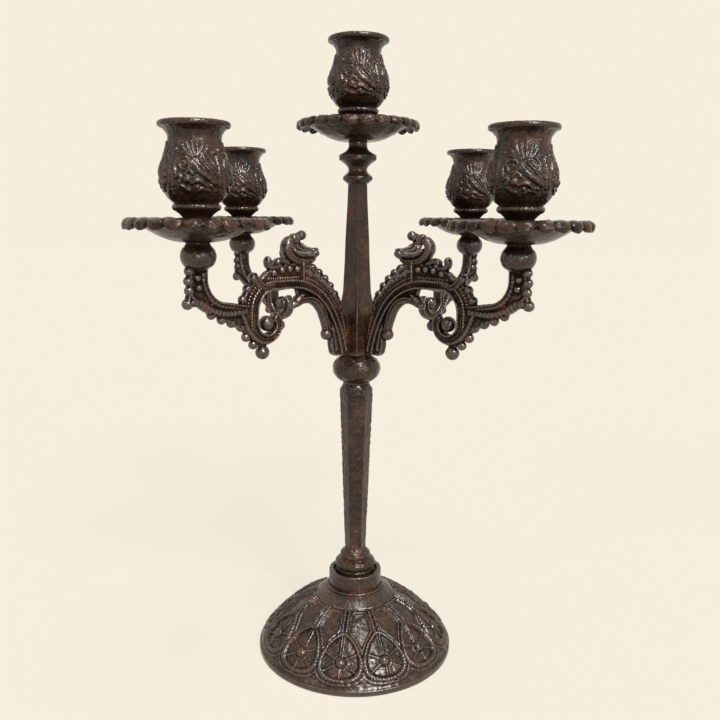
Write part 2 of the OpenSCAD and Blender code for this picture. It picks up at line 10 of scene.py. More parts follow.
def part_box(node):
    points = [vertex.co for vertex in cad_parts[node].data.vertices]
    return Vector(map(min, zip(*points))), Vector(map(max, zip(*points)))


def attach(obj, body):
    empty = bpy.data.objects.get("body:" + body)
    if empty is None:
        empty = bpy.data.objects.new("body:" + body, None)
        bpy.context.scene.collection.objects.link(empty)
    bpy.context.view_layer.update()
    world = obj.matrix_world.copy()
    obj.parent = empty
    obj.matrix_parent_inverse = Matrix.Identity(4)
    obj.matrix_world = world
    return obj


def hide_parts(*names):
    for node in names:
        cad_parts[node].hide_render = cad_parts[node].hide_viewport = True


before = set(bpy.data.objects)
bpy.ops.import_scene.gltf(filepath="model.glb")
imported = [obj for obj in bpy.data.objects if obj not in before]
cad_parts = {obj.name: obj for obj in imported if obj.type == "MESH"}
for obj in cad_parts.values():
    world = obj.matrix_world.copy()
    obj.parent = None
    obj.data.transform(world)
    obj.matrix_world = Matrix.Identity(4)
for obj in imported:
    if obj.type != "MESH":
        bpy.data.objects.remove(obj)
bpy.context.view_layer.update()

# Base
# A hollow domed iron casting, one piece with its collar and its twelve medallions. The tie rod
# runs through the collar, and the foot of the column stands in a shallow recess on top of it.
# Sizes are in millimetres all through, and MM makes them metres.
MM = 0.001
seam_gap = 1e-6
turn_parts = 12
base_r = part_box("base")[1].x / MM
band_h = 4
band_round = 0.5
dome_h = 42.4
dome_inset = 0.55
dome_edge_r = base_r - dome_inset
dome_power = 2.1
base_wall = 4
ledge_r = 26.4
ledge_step = 1.2
crown = [(23, 2.3), (20, 4.1)]
collar_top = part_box("base")[1].z / MM
collar_r = 17.5
collar_round = 0.7
collar_bead_out = 0.6
collar_bead_r = 0.95
recess_r = 14.5
recess_depth = 2
seat_thickness = 6.5
seat_z = collar_top - recess_depth
seat_ceiling = seat_z - seat_thickness
spigot_r = 8.15
spigot_depth = 3
bore_r = 4.15
hollow_r = 12.5
dome_loops = 96
hollow_loops = 12
base_steps = 600
base_edge = 2.2

medallion_count = 12
first_medallion = math.radians(20)
medallion_orbit_r = 51.4
ring_half_out = 9.9
ring_half_across = 12.4
egg_share = 0.34
top_point_share = 0.07
top_point_turn = 0.35
ring_half_w = 1.35
ring_h = 1.7
ring_rope = 0.15
ring_notches = 42
notch_lean = 2
outer_line_gap = 2.2
outer_line_fade = (-1, 3)
line_half_w = 0.75
line_h = 1.05
rib_gap = 1.3
rib_half_w = 1.05
rib_h = 1.5
rib_rope = 0.14
rib_notches = 4.2
spoke_gap = 0.75
spoke_half_w = 0.6
spoke_angles = [58, 116, 180, 244, 302]
boss_out = 2.4
boss_r = 3.6
boss_h = 2.9
boss_line_r = 4.7
boss_line_half_w = 0.6
boss_line_h = 0.6
field_depth = 0.7
field_edge = (-0.8, -2.2)
panel_gap = 3.1
panel_ledge_gap = 1.8
panel_ring_gap = 3.0
panel_round = 0.7
panel_line_half_w = 0.65
panel_line_h = 0.6
panel_depth = 0.75
panel_edge = (0.3, 1.5)
low_panel_ring_gap = 3.2
low_panel_rim_gap = 1.2
low_line_in = 0.4
low_line_half_w = 0.6
low_line_h = 0.7
rim_line_r = 62.5
rim_line_half_w = 0.7
rim_line_h = 0.3
rim_fade = 0.8
dome_skin = 0.05
least_line = 0.05
base_dents = (0.19, 2.4)
base_fine_dents = (0.07, 1.1)
base_sink = 0.1


def dome_z(r, edge):
    """Height of the dome at a radius, for a dome that meets the rim at an edge."""
    return band_h + (dome_h - band_h) * (1 - (r / edge) ** dome_power)


def arc(x, z, r, start, end, count):
    """Points of a round stretch of an outline, from one angle in degrees to another."""
    angles = [math.radians(start + (end - start) * i / count) for i in range(count + 1)]
    return [(x + r * math.cos(a), z + r * math.sin(a)) for a in angles]


def lathe(outside, inside, steps, longest):
    """A bmesh turned from a closed outline of radii and heights, with no edge outside too long.

    One sector of the turn is spun, and its copies are joined at their seams."""
    sector = bmesh.new()
    verts = [sector.verts.new((r * MM, 0, z * MM)) for r, z in outside + inside]
    edges = [sector.edges.new((a, b)) for a, b in zip(verts, verts[1:] + verts[:1])]
    for edge in edges[:len(outside)]:
        cuts = math.ceil(edge.calc_length() / MM / longest) - 1
        if cuts > 0:
            bmesh.ops.subdivide_edges(sector, edges=[edge], cuts=cuts)
    turn = 2 * math.pi / turn_parts
    bmesh.ops.spin(sector, geom=list(sector.verts) + list(sector.edges), cent=(0, 0, 0), axis=(0, 0, 1),
                   dvec=(0, 0, 0), angle=turn, steps=steps // turn_parts, use_merge=False,
                   use_normal_flip=False, use_duplicate=False)
    mesh = bpy.data.meshes.new("sector")
    sector.to_mesh(mesh)
    sector.free()
    bm = bmesh.new()
    for _ in range(turn_parts):
        bm.from_mesh(mesh)
        mesh.transform(Matrix.Rotation(turn, 4, "Z"))
    bpy.data.meshes.remove(mesh)
    bmesh.ops.remove_doubles(bm, verts=bm.verts, dist=seam_gap)
    bmesh.ops.recalc_face_normals(bm, faces=bm.faces)
    return bm


def to_mesh(name, bm):
    """Ends a bmesh and gives its mesh, smooth all over."""
    mesh = bpy.data.meshes.new(name)
    bm.to_mesh(mesh)
    bm.free()
    mesh.polygons.foreach_set("use_smooth", [True] * len(mesh.polygons))
    return mesh


def points_of(mesh, kind="co"):
    """Places or normals of the vertices of a mesh, places in millimetres."""
    values = np.zeros(len(mesh.vertices) * 3)
    mesh.vertices.foreach_get(kind, values)
    values = values.reshape(-1, 3)
    return values / MM if kind == "co" else values


def put_points(mesh, points):
    """Moves the vertices of a mesh to places in millimetres."""
    mesh.vertices.foreach_set("co", (points * MM).ravel())
    mesh.update()


def swell(mesh, lift):
    """Moves every vertex along its normal by its own lift in millimetres."""
    put_points(mesh, points_of(mesh) + points_of(mesh, "normal") * lift[:, None])


def bump(distance, half_width):
    """Round section of a raised line, 1 on its middle and 0 past its half width."""
    return np.sqrt(np.clip(1 - (distance / half_width) ** 2, 0, 1))


def ramp(value, start, end):
    """Smooth step from 0 at start to 1 at end."""
    t = np.clip((value - start) / (end - start), 0, 1)
    return t * t * (3 - 2 * t)


grain_values = 8191
grain_strides = (1, 89, 1877)
fine_scale = 2.3
fine_share = 0.5
fine_seed = 50


def grain(places, seed):
    """Smooth random values from -1 to 1 that change about once a unit along each axis."""
    table = np.random.default_rng(seed).uniform(-1, 1, grain_values)
    cell = np.floor(places).astype(int)
    part = places - cell
    part = part * part * (3 - 2 * part)
    total = np.zeros(len(places))
    for corner in itertools.product((0, 1), repeat=3):
        weight = np.prod(np.where(corner, part, 1 - part), axis=1)
        total += weight * table[(cell + corner) @ grain_strides % len(table)]
    return total


def dents(mesh, depth, size, seed):
    """Uneven skin of a sand casting, as a lift in millimetres for each vertex."""
    places = points_of(mesh) / size
    return depth * (grain(places, seed) + fine_share * grain(fine_scale * places, seed + fine_seed))


def note_hollows(mesh, rounds):
    """Writes how hollow the surface is at each vertex, from -1 on ridges to 1 in hollows."""
    points, normals = points_of(mesh), points_of(mesh, "normal")
    ends = np.zeros(len(mesh.edges) * 2, int)
    mesh.edges.foreach_get("vertices", ends)
    a, b = ends.reshape(-1, 2).T
    count = np.bincount(np.concatenate([a, b]), minlength=len(points))
    smooth = points
    for _ in range(rounds):
        sums = [np.bincount(a, axis[b], len(points)) + np.bincount(b, axis[a], len(points))
                for axis in smooth.T]
        smooth = (np.array(sums) / count).T
    hollow = np.einsum("ij,ij->i", smooth - points, normals)
    hollow = np.clip(hollow / (2 * np.std(hollow)), -1, 1)
    mesh.attributes.new("hollow", "FLOAT", "POINT").data.foreach_set("value", hollow)


def shader_node(tree, kind, **inputs):
    """A node of a material; each input is a constant or the output of another node."""
    made = tree.nodes.new("ShaderNode" + kind)
    for name, value in inputs.items():
        socket = made.inputs[name.replace("_", " ")]
        if isinstance(value, bpy.types.NodeSocket):
            tree.links.new(value, socket)
        else:
            socket.default_value = value
    return made


def blend(tree, factor, first, second):
    """Mixes two colours by a factor."""
    mix = tree.nodes.new("ShaderNodeMix")
    mix.data_type = "RGBA"
    for socket, value in ((mix.inputs[0], factor), (mix.inputs[6], first), (mix.inputs[7], second)):
        if isinstance(value, bpy.types.NodeSocket):
            tree.links.new(value, socket)
        else:
            socket.default_value = value
    return mix.outputs[2]


def spread(tree, value, start, end, low, high):
    """Maps a value from one range to another, held at both ends."""
    made = shader_node(tree, "MapRange", Value=value, From_Min=start, From_Max=end, To_Min=low, To_Max=high)
    return made.outputs["Result"]


def sum_of(tree, first, second, share):
    """The first value plus a share of the second."""
    made = tree.nodes.new("ShaderNodeMath")
    made.operation = "MULTIPLY_ADD"
    tree.links.new(second, made.inputs[0])
    made.inputs[1].default_value = share
    tree.links.new(first, made.inputs[2])
    return made.outputs[0]


def noise(tree, place, scale, detail, roughness=0.6):
    """Random spots from 0 to 1, smaller with a larger scale."""
    made = shader_node(tree, "TexNoise", Vector=place, Scale=scale, Detail=detail, Roughness=roughness)
    return made.outputs["Fac"]


# The darkest iron colour: the iron's own black tone, and also the painted shade where the hollows are
# darkened.
black_iron_and_shade = (0.009, 0.0057, 0.0042, 1)
brown_iron = (0.052, 0.0245, 0.0139, 1)
rust = (0.16, 0.058, 0.026, 1)
brown_span = (0.72, 1.08)
rust_span = (1.34, 1.56)
most_rust = 0.7
rust_dullness = 0.2
gloss_span = 0.12
shine_in_hollows = 0.04
hollow_from = 0.3
skin_depth = 0.00022


def cast_iron(name, rust_share, gloss, shine):
    """Waxed cast iron: black brown with painted shade that darkens the hollows, rusty in the hollows, grainy,
    and shiny on the ridges.
    """
    material = bpy.data.materials.new(name)
    material.use_nodes = True
    tree = material.node_tree
    shader = tree.nodes["Principled BSDF"]
    place = tree.nodes.new("ShaderNodeTexCoord").outputs["Object"]
    attribute = tree.nodes.new("ShaderNodeAttribute")
    attribute.attribute_name = "hollow"
    hollow = attribute.outputs["Fac"]
    patches = noise(tree, place, 75, 4)
    spots = noise(tree, place, 430, 4)
    specks = noise(tree, place, 1300, 3)
    pits = shader_node(tree, "TexVoronoi", Vector=place, Scale=640).outputs["Distance"]
    tone = sum_of(tree, patches, spots, 0.8)
    # Painted shade: the colour is darkened towards black in the hollows of the surface, where shade falls.
    tone_and_painted_shade = sum_of(tree, tone, hollow, -0.16)
    body = blend(tree, spread(tree, tone_and_painted_shade, *brown_span, 0, 1), black_iron_and_shade, brown_iron)
    rusty = sum_of(tree, sum_of(tree, tone, specks, 0.35), hollow, 0.10)
    start, end = rust_span
    rust_factor = spread(tree, rusty, start - rust_share, end - rust_share, 0, most_rust)
    tree.links.new(blend(tree, rust_factor, body, rust), shader.inputs["Base Color"])
    worn = spread(tree, spots, 0.3, 0.7, gloss, gloss + gloss_span)
    tree.links.new(sum_of(tree, worn, rust_factor, rust_dullness), shader.inputs["Roughness"])
    shader.inputs["Metallic"].default_value = 0.1
    glint = spread(tree, hollow, -1, hollow_from, shine, shine_in_hollows)
    tree.links.new(glint, shader.inputs["Specular IOR Level"])
    height = sum_of(tree, sum_of(tree, spots, specks, 0.3), pits, 0.35)
    skin = shader_node(tree, "Bump", Strength=0.5, Distance=skin_depth, Height=height)
    tree.links.new(skin.outputs["Normal"], shader.inputs["Normal"])
    return material


def iron_piece(name, mesh, material, node):
    """An iron casting of the object that stands for a node."""
    piece = bpy.data.objects.new(name, mesh)
    bpy.context.scene.collection.objects.link(piece)
    mesh.materials.append(material)
    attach(piece, "root")
    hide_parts(node)


def base_outline():
    """Closed outline of the base: the outside from the rim to the column's seat, and the inside."""
    ledge_z = dome_z(ledge_r, dome_edge_r) + ledge_step
    radii = [dome_edge_r + (ledge_r - dome_edge_r) * i / dome_loops for i in range(dome_loops + 1)]
    hollow_edge_r = dome_edge_r - base_wall
    inner = [hollow_r + (hollow_edge_r - hollow_r) * i / hollow_loops for i in range(hollow_loops)]
    outside = ([(base_r - band_round, 0), (base_r, band_round), (base_r, band_h - band_round),
                (base_r - 0.3, band_h - 0.1)]
               + [(r, dome_z(r, dome_edge_r)) for r in radii]
               + [(ledge_r - 0.1, ledge_z - 0.4), (ledge_r - 0.6, ledge_z)]
               + [(r, ledge_z + rise) for r, rise in crown]
               + [(collar_r + 1.6, dome_h - 0.3)]
               + arc(collar_r + collar_bead_out, dome_h + collar_bead_out, collar_bead_r, -40, 120, 6)
               + arc(collar_r - collar_round, collar_top - collar_round, collar_round, 0, 90, 3)
               + arc(recess_r + collar_round, collar_top - collar_round, collar_round, 90, 180, 3)
               + [(recess_r, seat_z), (spigot_r, seat_z)])
    inside = ([(spigot_r, seat_z - spigot_depth), (bore_r, seat_z - spigot_depth), (bore_r, seat_ceiling),
               (hollow_r, seat_ceiling)]
              + [(r, dome_z(r, hollow_edge_r) - base_wall) for r in inner]
              + [(hollow_edge_r + 0.4, 0)])
    return outside, inside


def medallion_relief(points):
    """Lift of the ornament over the plain dome: rings, ribs, spokes, bosses and sunk panels."""
    x, y, z = points.T
    radius = np.hypot(x, y)
    off_dome = np.abs(z - dome_z(radius, dome_edge_r))
    on_dome = (radius > ledge_r) & (radius < dome_edge_r) & (off_dome < dome_skin)
    fall = (dome_h - band_h) * dome_power / dome_edge_r * (radius / dome_edge_r) ** (dome_power - 1)
    level = 1 / np.sqrt(1 + fall ** 2)
    pitch = 2 * math.pi / medallion_count
    azimuth = np.arctan2(y, x) - first_medallion
    azimuth -= pitch * np.round(azimuth / pitch)
    out = radius * np.cos(azimuth) - medallion_orbit_r
    across = radius * np.sin(azimuth)
    up = out / ring_half_out
    side = across / (ring_half_across * (1 + egg_share * up))
    turn = np.arctan2(side, -up)
    slope = np.hypot(up * level / ring_half_out, side / ring_half_across) / np.hypot(up, side)
    top_point = top_point_share * np.exp(-(turn / top_point_turn) ** 2)
    from_ring = (np.hypot(up, side) - top_point - 1) / slope
    notches = 1 - ring_rope + ring_rope * np.sin(ring_notches * turn + notch_lean * from_ring)
    ring = ring_h * bump(from_ring, ring_half_w) * notches
    outer_line = line_h * bump(from_ring - outer_line_gap, line_half_w) * ramp(out, *outer_line_fade)
    notches = 1 - rib_rope + rib_rope * np.sin(rib_notches * radius)
    ribs = rib_h * bump(np.abs(across) - rib_gap, rib_half_w) * notches * ((out < 0) & (from_ring > 0))
    boss_turn = np.arctan2(across, (boss_out - out) / level)
    boss_rho = np.hypot(across, (out - boss_out) / level)
    spokes = line_h * bump(np.abs(across) - spoke_gap, spoke_half_w) * (out < boss_out)
    for angle in spoke_angles:
        off = np.angle(np.exp(1j * (boss_turn - math.radians(angle))))
        spoke = line_h * bump(boss_rho * np.sin(off), line_half_w) * (np.cos(off) > 0)
        spokes = np.maximum(spokes, spoke)
    boss = boss_h * bump(boss_rho, boss_r) + boss_line_h * bump(boss_rho - boss_line_r, boss_line_half_w)
    field = np.maximum(spokes * (boss_rho > boss_r), boss) - field_depth * ramp(from_ring, *field_edge)
    edges = [np.abs(across) - panel_gap, (radius - ledge_r) / level - panel_ledge_gap,
             from_ring - panel_ring_gap]
    edge = -panel_round * np.log(sum(np.exp(-e / panel_round) for e in edges))
    panel = panel_line_h * bump(edge, panel_line_half_w) - panel_depth * ramp(edge, *panel_edge)
    low_edge = np.minimum(from_ring - low_panel_ring_gap,
                          (rim_line_r - low_panel_rim_gap - radius) / level)
    low_panel = low_line_h * bump(low_edge - low_line_in, low_line_half_w)
    rim_line = rim_line_h * bump((radius - rim_line_r) / level, rim_line_half_w) * (from_ring > 1)
    lines = np.maximum.reduce([ring, outer_line, ribs, rim_line])
    between = np.where(out < 0, panel, low_panel)
    lift = np.maximum(lines, np.where(from_ring < 0, field, between * (from_ring > 1)))
    lift = np.where((lines < least_line) & (from_ring > 1), between, lift)
    lift = np.where((lines < least_line) & (from_ring < 0), field, lift)
    return np.where(on_dome, lift * ramp(dome_edge_r - radius, 0, rim_fade), 0)


base_mesh = to_mesh("base_iron", lathe(*base_outline(), base_steps, base_edge))
swell(base_mesh, medallion_relief(points_of(base_mesh)))
x, y, z = points_of(base_mesh).T
outside = (z > 1) & (np.hypot(x, y) < base_r - 0.4)
skin = dents(base_mesh, *base_dents, seed=1) + dents(base_mesh, *base_fine_dents, seed=7) - base_sink
swell(base_mesh, np.where(outside, skin, 0))
note_hollows(base_mesh, 3)
base_iron = cast_iron("base_iron", rust_share=0.10, gloss=0.20, shine=2.1)
iron_piece("base_iron", base_mesh, base_iron, "base")

# Lower column
# A hexagonal baluster cast with a nut-like shoulder at the top and two turned beads at the
# foot. It is drilled through for the tie rod and centred in the base by a spigot.
foot_z = seat_z
lower_h = (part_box("lower_column")[1].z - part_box("lower_column")[0].z) / MM - spigot_depth
fit = 0.15
hex_foot_r = 6.7
hex_foot_h = 8.7
hex_top_r = 10.85
hex_top_h = 129.6
hex_start = 17.5
hex_fade = 3
hex_sharpness = 46
hex_shoulder = 124.7
taper_start = 9
taper_h = 116
shoulder_r = hex_foot_r + (hex_top_r - hex_foot_r) * (hex_shoulder - taper_start) / taper_h
chamfer_start = 125.8
chamfer_slope = 0.6
column_end_r = 8.6
large_bead = (10.05, 6.1, 3.35)
small_bead = (7.7, 11.9, 2.45)
column_steps = 144
column_edge = 0.7
lower_dents = (0.2, 1.6)
off_bore = 0.5


def smooth_line(points, steps):
    """Points of a smooth curve through the points given."""
    line = []
    for i in range(len(points) - 1):
        a, b, c, d = (np.array(points[min(max(i + k, 0), len(points) - 1)], float) for k in (-1, 0, 1, 2))
        for t in np.arange(steps) / steps:
            line.append(tuple((2 * b + (c - a) * t + (2 * a - 5 * b + 4 * c - d) * t ** 2
                               + (3 * b - a - 3 * c + d) * t ** 3) / 2))
    return line + [points[-1]]


def faceted(azimuth, reaches, turns, sharpness):
    """Radius of a prism with rounded corners, from the reach and the azimuth of each flat."""
    total = 0
    for reach, turn in zip(reaches, turns):
        facing = np.clip(np.cos(azimuth - math.radians(turn)), 0, 1)
        total = total + (facing / reach) ** sharpness
    return total ** (-1 / sharpness)


def lower_outline():
    """Outline of the lower column; its hexagon is still round here."""
    flare = smooth_line([(9.4, 13.9), (8.4, 14.9), (7.5, 16.0), (6.95, hex_start)], 4)
    return ([(spigot_r - fit, 0.01), (12.4, 0.01), (12.6, 2.8)]
            + arc(*large_bead, -65, 60, 10) + arc(*small_bead, -50, 62, 8) + flare
            + [(shoulder_r, hex_shoulder), (hex_top_r, hex_top_h), (column_end_r, lower_h)])


lower_bore = [(bore_r, lower_h), (bore_r, -spigot_depth), (spigot_r - fit, -spigot_depth)]
lower_mesh = to_mesh("lower_column_iron", lathe(lower_outline(), lower_bore, column_steps, column_edge))
lower_places = points_of(lower_mesh)
radius = np.hypot(lower_places[:, 0], lower_places[:, 1])
azimuth = np.arctan2(lower_places[:, 1], lower_places[:, 0])
height = lower_places[:, 2]
corner_r = np.interp(height, [hex_foot_h, hex_shoulder], [hex_foot_r, hex_top_r])
flat_r = corner_r * math.cos(math.radians(30))
hexagon_r = faceted(azimuth, [flat_r] * 6, range(30, 390, 60), hex_sharpness)
chamfer_r = hex_top_r - chamfer_slope * (height - chamfer_start)
shaft_r = np.minimum(hexagon_r, np.where(height > hex_shoulder - hex_fade, chamfer_r, np.inf))
is_shaft = (radius > bore_r + off_bore) & (height > hex_start - hex_fade)
share = ramp(height, hex_start - hex_fade, hex_start) * is_shaft
new_radius = np.where(is_shaft, radius + (shaft_r - radius) * share, radius)
lower_places[:, :2] *= (new_radius / radius)[:, None]
lower_places[:, 2] += foot_z
put_points(lower_mesh, lower_places)
swell(lower_mesh, np.where(radius > bore_r + off_bore, dents(lower_mesh, *lower_dents, seed=2), 0))
note_hollows(lower_mesh, 3)
column_iron = cast_iron("column_iron", rust_share=0.14, gloss=0.18, shine=1.5)
iron_piece("lower_column_iron", lower_mesh, column_iron, "lower_column")

# Ring knob
# A squashed ball of cast iron between the two columns, drilled for the tie rod. It holds the
# keys of the arms up.
knob_low, knob_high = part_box("ring_knob")
knob_r = knob_high.x / MM
knob_h = (knob_high.z - knob_low.z) / MM
knob_middle = (knob_high.z + knob_low.z) / 2 / MM
knob_end_r = 8.7
knob_dents = (0.3, 2.6)
knob_sink = 0.15

knob_side = smooth_line([(knob_r - 3.4, -6.9), (knob_r - 1.1, -4.4), (knob_r, 0), (knob_r - 1.1, 4.4),
                         (knob_r - 3.4, 6.9)], 4)
knob_outline = ([(knob_end_r, -knob_h / 2), (knob_end_r + 0.4, -knob_h / 2 + 0.9)] + knob_side
                + [(knob_end_r + 0.4, knob_h / 2 - 0.9), (knob_end_r, knob_h / 2)])
knob_bore = [(bore_r, knob_h / 2), (bore_r, -knob_h / 2)]
knob_mesh = to_mesh("ring_knob_iron", lathe(knob_outline, knob_bore, column_steps, column_edge))
put_points(knob_mesh, points_of(knob_mesh) + [0, 0, knob_middle])
x, y, z = points_of(knob_mesh).T
outside = (np.hypot(x, y) > knob_end_r) & (np.abs(z - knob_middle) < knob_h / 2 - 0.3)
swell(knob_mesh, np.where(outside, dents(knob_mesh, *knob_dents, seed=3) - knob_sink, 0))
note_hollows(knob_mesh, 3)
iron_piece("ring_knob_iron", knob_mesh, column_iron, "ring_knob")

# Upper column
# A square stem cast with stopped chamfers on its corners, on a core that the arms stand against; the slots
# for their keys are not cut.
# Two knops with flat edges stand under the seat of the top pan.
core_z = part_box("upper_column")[0].z / MM
upper_h = (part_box("upper_column")[1].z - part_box("upper_column")[0].z) / MM
flat_heights = [0, 22, 26, 32, 39.3, 58.3, 72, 96.5, 106.5]
flat_reaches = [9.4, 9.4, 8.9, 7.6, 6.6, 5.8, 5.45, 4.5, 4.3]
corner_heights = [0, 20, 22, 31.7, 39.3, 58.3, 72, 96.5, 106.5]
corner_reaches = [13.4, 13.4, 13.2, 10.4, 8.9, 7.9, 7.5, 6.2, 5.9]
stem_top = 106.5
stem_fade = (107.5, 104.5)
stem_sharpness = 60
screw_bore_r = 2.65
upper_edge = 0.75
stem_dents = (0.2, 1.5)
upper_dents = (0.12, 2.2)

upper_outline = ([(12.2, 0), (10.5, 12), (9.4, 26), (7, 39.3), (6, 72), (5.2, 105)]
                 + smooth_line([(5.6, 105.6), (7.2, 107), (8.8, 108.4)], 3)
                 + [(9.13, 108.7), (9.13, 110.4)]
                 + smooth_line([(8.6, 110.9), (7.3, 112.1), (6.1, 113.4), (5.7, 114.9), (6.3, 116.4),
                                (8.2, 118.2), (10.6, 119.9)], 3)
                 + [(11.5, 120.5), (11.54, 123.2)]
                 + smooth_line([(11, 123.7), (8.7, 124.9), (6.7, 126.4), (5.8, 128.3), (5.7, upper_h)], 3))
upper_bore = [(screw_bore_r, upper_h), (screw_bore_r, 100), (bore_r, 90), (bore_r, 0)]
upper_mesh = to_mesh("upper_column_iron", lathe(upper_outline, upper_bore, column_steps, upper_edge))
upper_places = points_of(upper_mesh)
radius = np.hypot(upper_places[:, 0], upper_places[:, 1])
azimuth = np.arctan2(upper_places[:, 1], upper_places[:, 0])
height = upper_places[:, 2]
flat_r = np.interp(height, flat_heights, flat_reaches)
corner_r = np.interp(height, corner_heights, corner_reaches)
stem_turns = [45, 135, 225, 315, 0, 90, 180, 270]
stem_r = faceted(azimuth, [flat_r] * 4 + [corner_r] * 4, stem_turns, stem_sharpness)
is_stem = (radius > bore_r + off_bore) & (height < stem_top)
share = ramp(height, *stem_fade) * is_stem
upper_places[:, :2] *= ((radius + (stem_r - radius) * share) / radius)[:, None]
upper_places[:, 2] += core_z
put_points(upper_mesh, upper_places)
skin = dents(upper_mesh, *stem_dents, seed=4) * ramp(height, 112, 104)
skin = skin + dents(upper_mesh, *upper_dents, seed=5)
swell(upper_mesh, np.where((radius > bore_r + off_bore) & (height < upper_h - 0.5), skin, 0))
note_hollows(upper_mesh, 3)
iron_piece("upper_column_iron", upper_mesh, column_iron, "upper_column")

# Arms
# Four pierced scroll castings with the same relief on both faces. Each hangs by a dovetail key
# in the core of the upper column, and a ball at its end carries a pan and a cup on a screw.
# Places are distances from the face of the core and heights above the ring knob.
arm_azimuths = {"front_left": 225, "front_right": 315, "rear_left": 135, "rear_right": 45}
cup_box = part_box("cup_front_right")
arm_r = math.hypot(cup_box[0].x + cup_box[1].x, cup_box[0].y + cup_box[1].y) / 2 / MM
arm_foot_r = 9.4
arm_seat_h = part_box("pan_front_left")[0].z / MM - core_z
arm_voxel = 0.41
rib_step = 0.42
rib_sides = 18
line_steps = 12
least_end = 0.02
web_half_t = 2.2
thin_web_half_t = 1.3
bead_r = 2.75
rosette_r = 1.85
rosette_h = 0.8
rope_notch = 0.34
end_ball_h = 66.2
end_neck_r = 6.4
end_steps = 60
end_edge = 0.8
drill_depth = 7.2
key_top = 21.85
arm_dents = (0.08, 1.5)

# Lines of the arm: a start, a heading and tangent bends, or points that a smooth curve runs through
scroll = ((4.4, 1.8), 80, [(80, -22), (38, -58), (12.3, 0), (14.6, -90), (6, 0), (10, -90), (8, -90),
                            (5.6, -60)])
cee = ((107, 62), -90, [(7.7, 0), (15.8, -80), (16, 0)])
spur = ((116, 41.2), 150, [(7, 68), (30, -42), (9.5, 0)])
spur_fold = [(107.5, 42.6), (111, 42.4), (113.6, 44.2), (115.2, 47)]
leaf = [(43.4, 34.6), (39.5, 36.9), (33.5, 37.9), (27.6, 35.9), (22.6, 30.8), (19.4, 23.4), (17.6, 16.5)]
leaf_lobe = [(43.8, 36.2), (40.6, 38.6), (36.6, 42)]
top_leaf = [(44.2, 73.6), (46.8, 72.8), (48.9, 70.6), (49.2, 67.6), (46.8, 64.2), (42.2, 61.5),
            (36.6, 60.5), (31, 61.2), (27.2, 63.6)]
top_leaf_fold = [(45.6, 68.4), (43.2, 66.0), (39.6, 64.6), (35.8, 64.1), (32.2, 63.9), (28.4, 64.7)]
crest_curl = [(59, 48.4), (63, 47.2), (67.2, 47.4), (70.8, 49.4), (73, 52.4), (74, 55.4)]
small_curl = [(60.9, 63.6), (62.8, 61.6), (62.3, 58.9), (59.6, 57.6), (55.4, 58)]
small_wave = [(57.6, 59.6), (55.8, 61.2), (52.8, 61.6), (49.8, 60.4), (47, 59.4)]
post = [(38.4, 47.6), (38.4, 54), (38.4, 60.6)]
root_fold = ((10.6, 2.8), 86, [(60, -8), (9, 0)])
root_edge = ((1.8, 2.5), 88, [(90, -17)])
arch_centre = (47.6, 10.2)
arch_rope = (42.2, 152, 100)
arch_beads_r = 44.9
arch_bead_angles = [110, 118.6, 127.2, 135.8, 144.4, 153, 161]
flank_rope = ((67.9, 50.9), -25, [(18.9, -54)])
crest_rope = ((41, 51.6), 0, [(25, 0)])
spiral_band = [(85, 36.4), (82, 31.4), (79.4, 25.4), (75.6, 20.4), (70.6, 16.9), (65, 15.6), (60.4, 16.8)]
edge_beads = [(80.7, 41), (77.4, 46.8), (114.6, 58.4), (115.2, 53.2), (114.8, 48.2), (101.6, 34.6),
              (95.2, 31.4), (88.8, 28.9), (82.3, 26), (79, 20), (74.1, 15.2)]
rosettes = [(42.3, 56.2), (48, 56.6), (53.8, 56.2), (59.8, 54.8), (110.4, 59.6), (110.8, 54.8), (110.2, 49.8)]
end_balls = [((64.1, 26.4), 4.5), ((67.5, 10.1), 4.1), ((17.4, 15.2), 3.7), ((43.2, 73.6), 3.3),
             ((116.2, 41.4), 3.1), ((43.9, 35.4), 2.4)]
root_web = [(0, 1), (0, 24), (8, 31), (14, 24), (14.6, 8), (13.2, 2.8), (11.2, 1)]
crest_web = [(38.6, 46), (38.6, 58.6), (45, 59.4), (56, 58.4), (64.5, 55.5), (70, 51), (66, 44), (50, 45)]
top_leaf_web = [(29, 62.6), (34, 63.6), (38.5, 64.2), (42, 65.6), (45.6, 69), (46, 72), (47, 72), (48.5, 69),
                (44, 63), (37, 61)]
leaf_web = [(10.9, 21.7), (16, 17.5), (19, 30), (26.7, 37.1), (36.6, 39.7), (40.4, 38.4), (42.6, 45.2),
            (32.6, 44.5), (17.4, 33.7)]
upright_web = [(104, 61), (106, 46), (104, 40), (112, 40), (117.2, 42), (115.6, 47.4), (114.8, 61)]
outer_web = [(107, 38), (93, 30.5), (78, 21.5), (71.7, 14.1), (67.3, 14.1), (76, 26), (76, 36), (87, 37),
             (100, 42)]
haunch_web = [(62, 46), (68, 51), (77, 48.5), (82.5, 40), (80.4, 32.6), (74.9, 32.6), (73.8, 39.1)]
beads_web = [(47.6, 52), (40, 56.4), (31, 53.4), (20, 46), (8, 34), (5, 24), (14, 22), (24, 38), (36, 46)]


def chain(start, heading, bends):
    """Places and headings along tangent bends, each a radius and a turn, or a length and no turn."""
    place, course = complex(*start), math.radians(heading)
    places, courses = [place], [course]
    for size, turn in bends:
        turn = math.radians(turn)
        count = max(3, round((abs(turn) or 1) * size / rib_step))
        for i in range(1, count + 1):
            if turn:
                radius = 1j * math.copysign(size, turn)
                centre = place + radius * np.exp(1j * course)
                places.append(centre - radius * np.exp(1j * (course + turn * i / count)))
            else:
                places.append(place + size * i / count * np.exp(1j * course))
            courses.append(course + turn * i / count)
        place, course = places[-1], courses[-1]
    return np.array(places), np.array(courses)


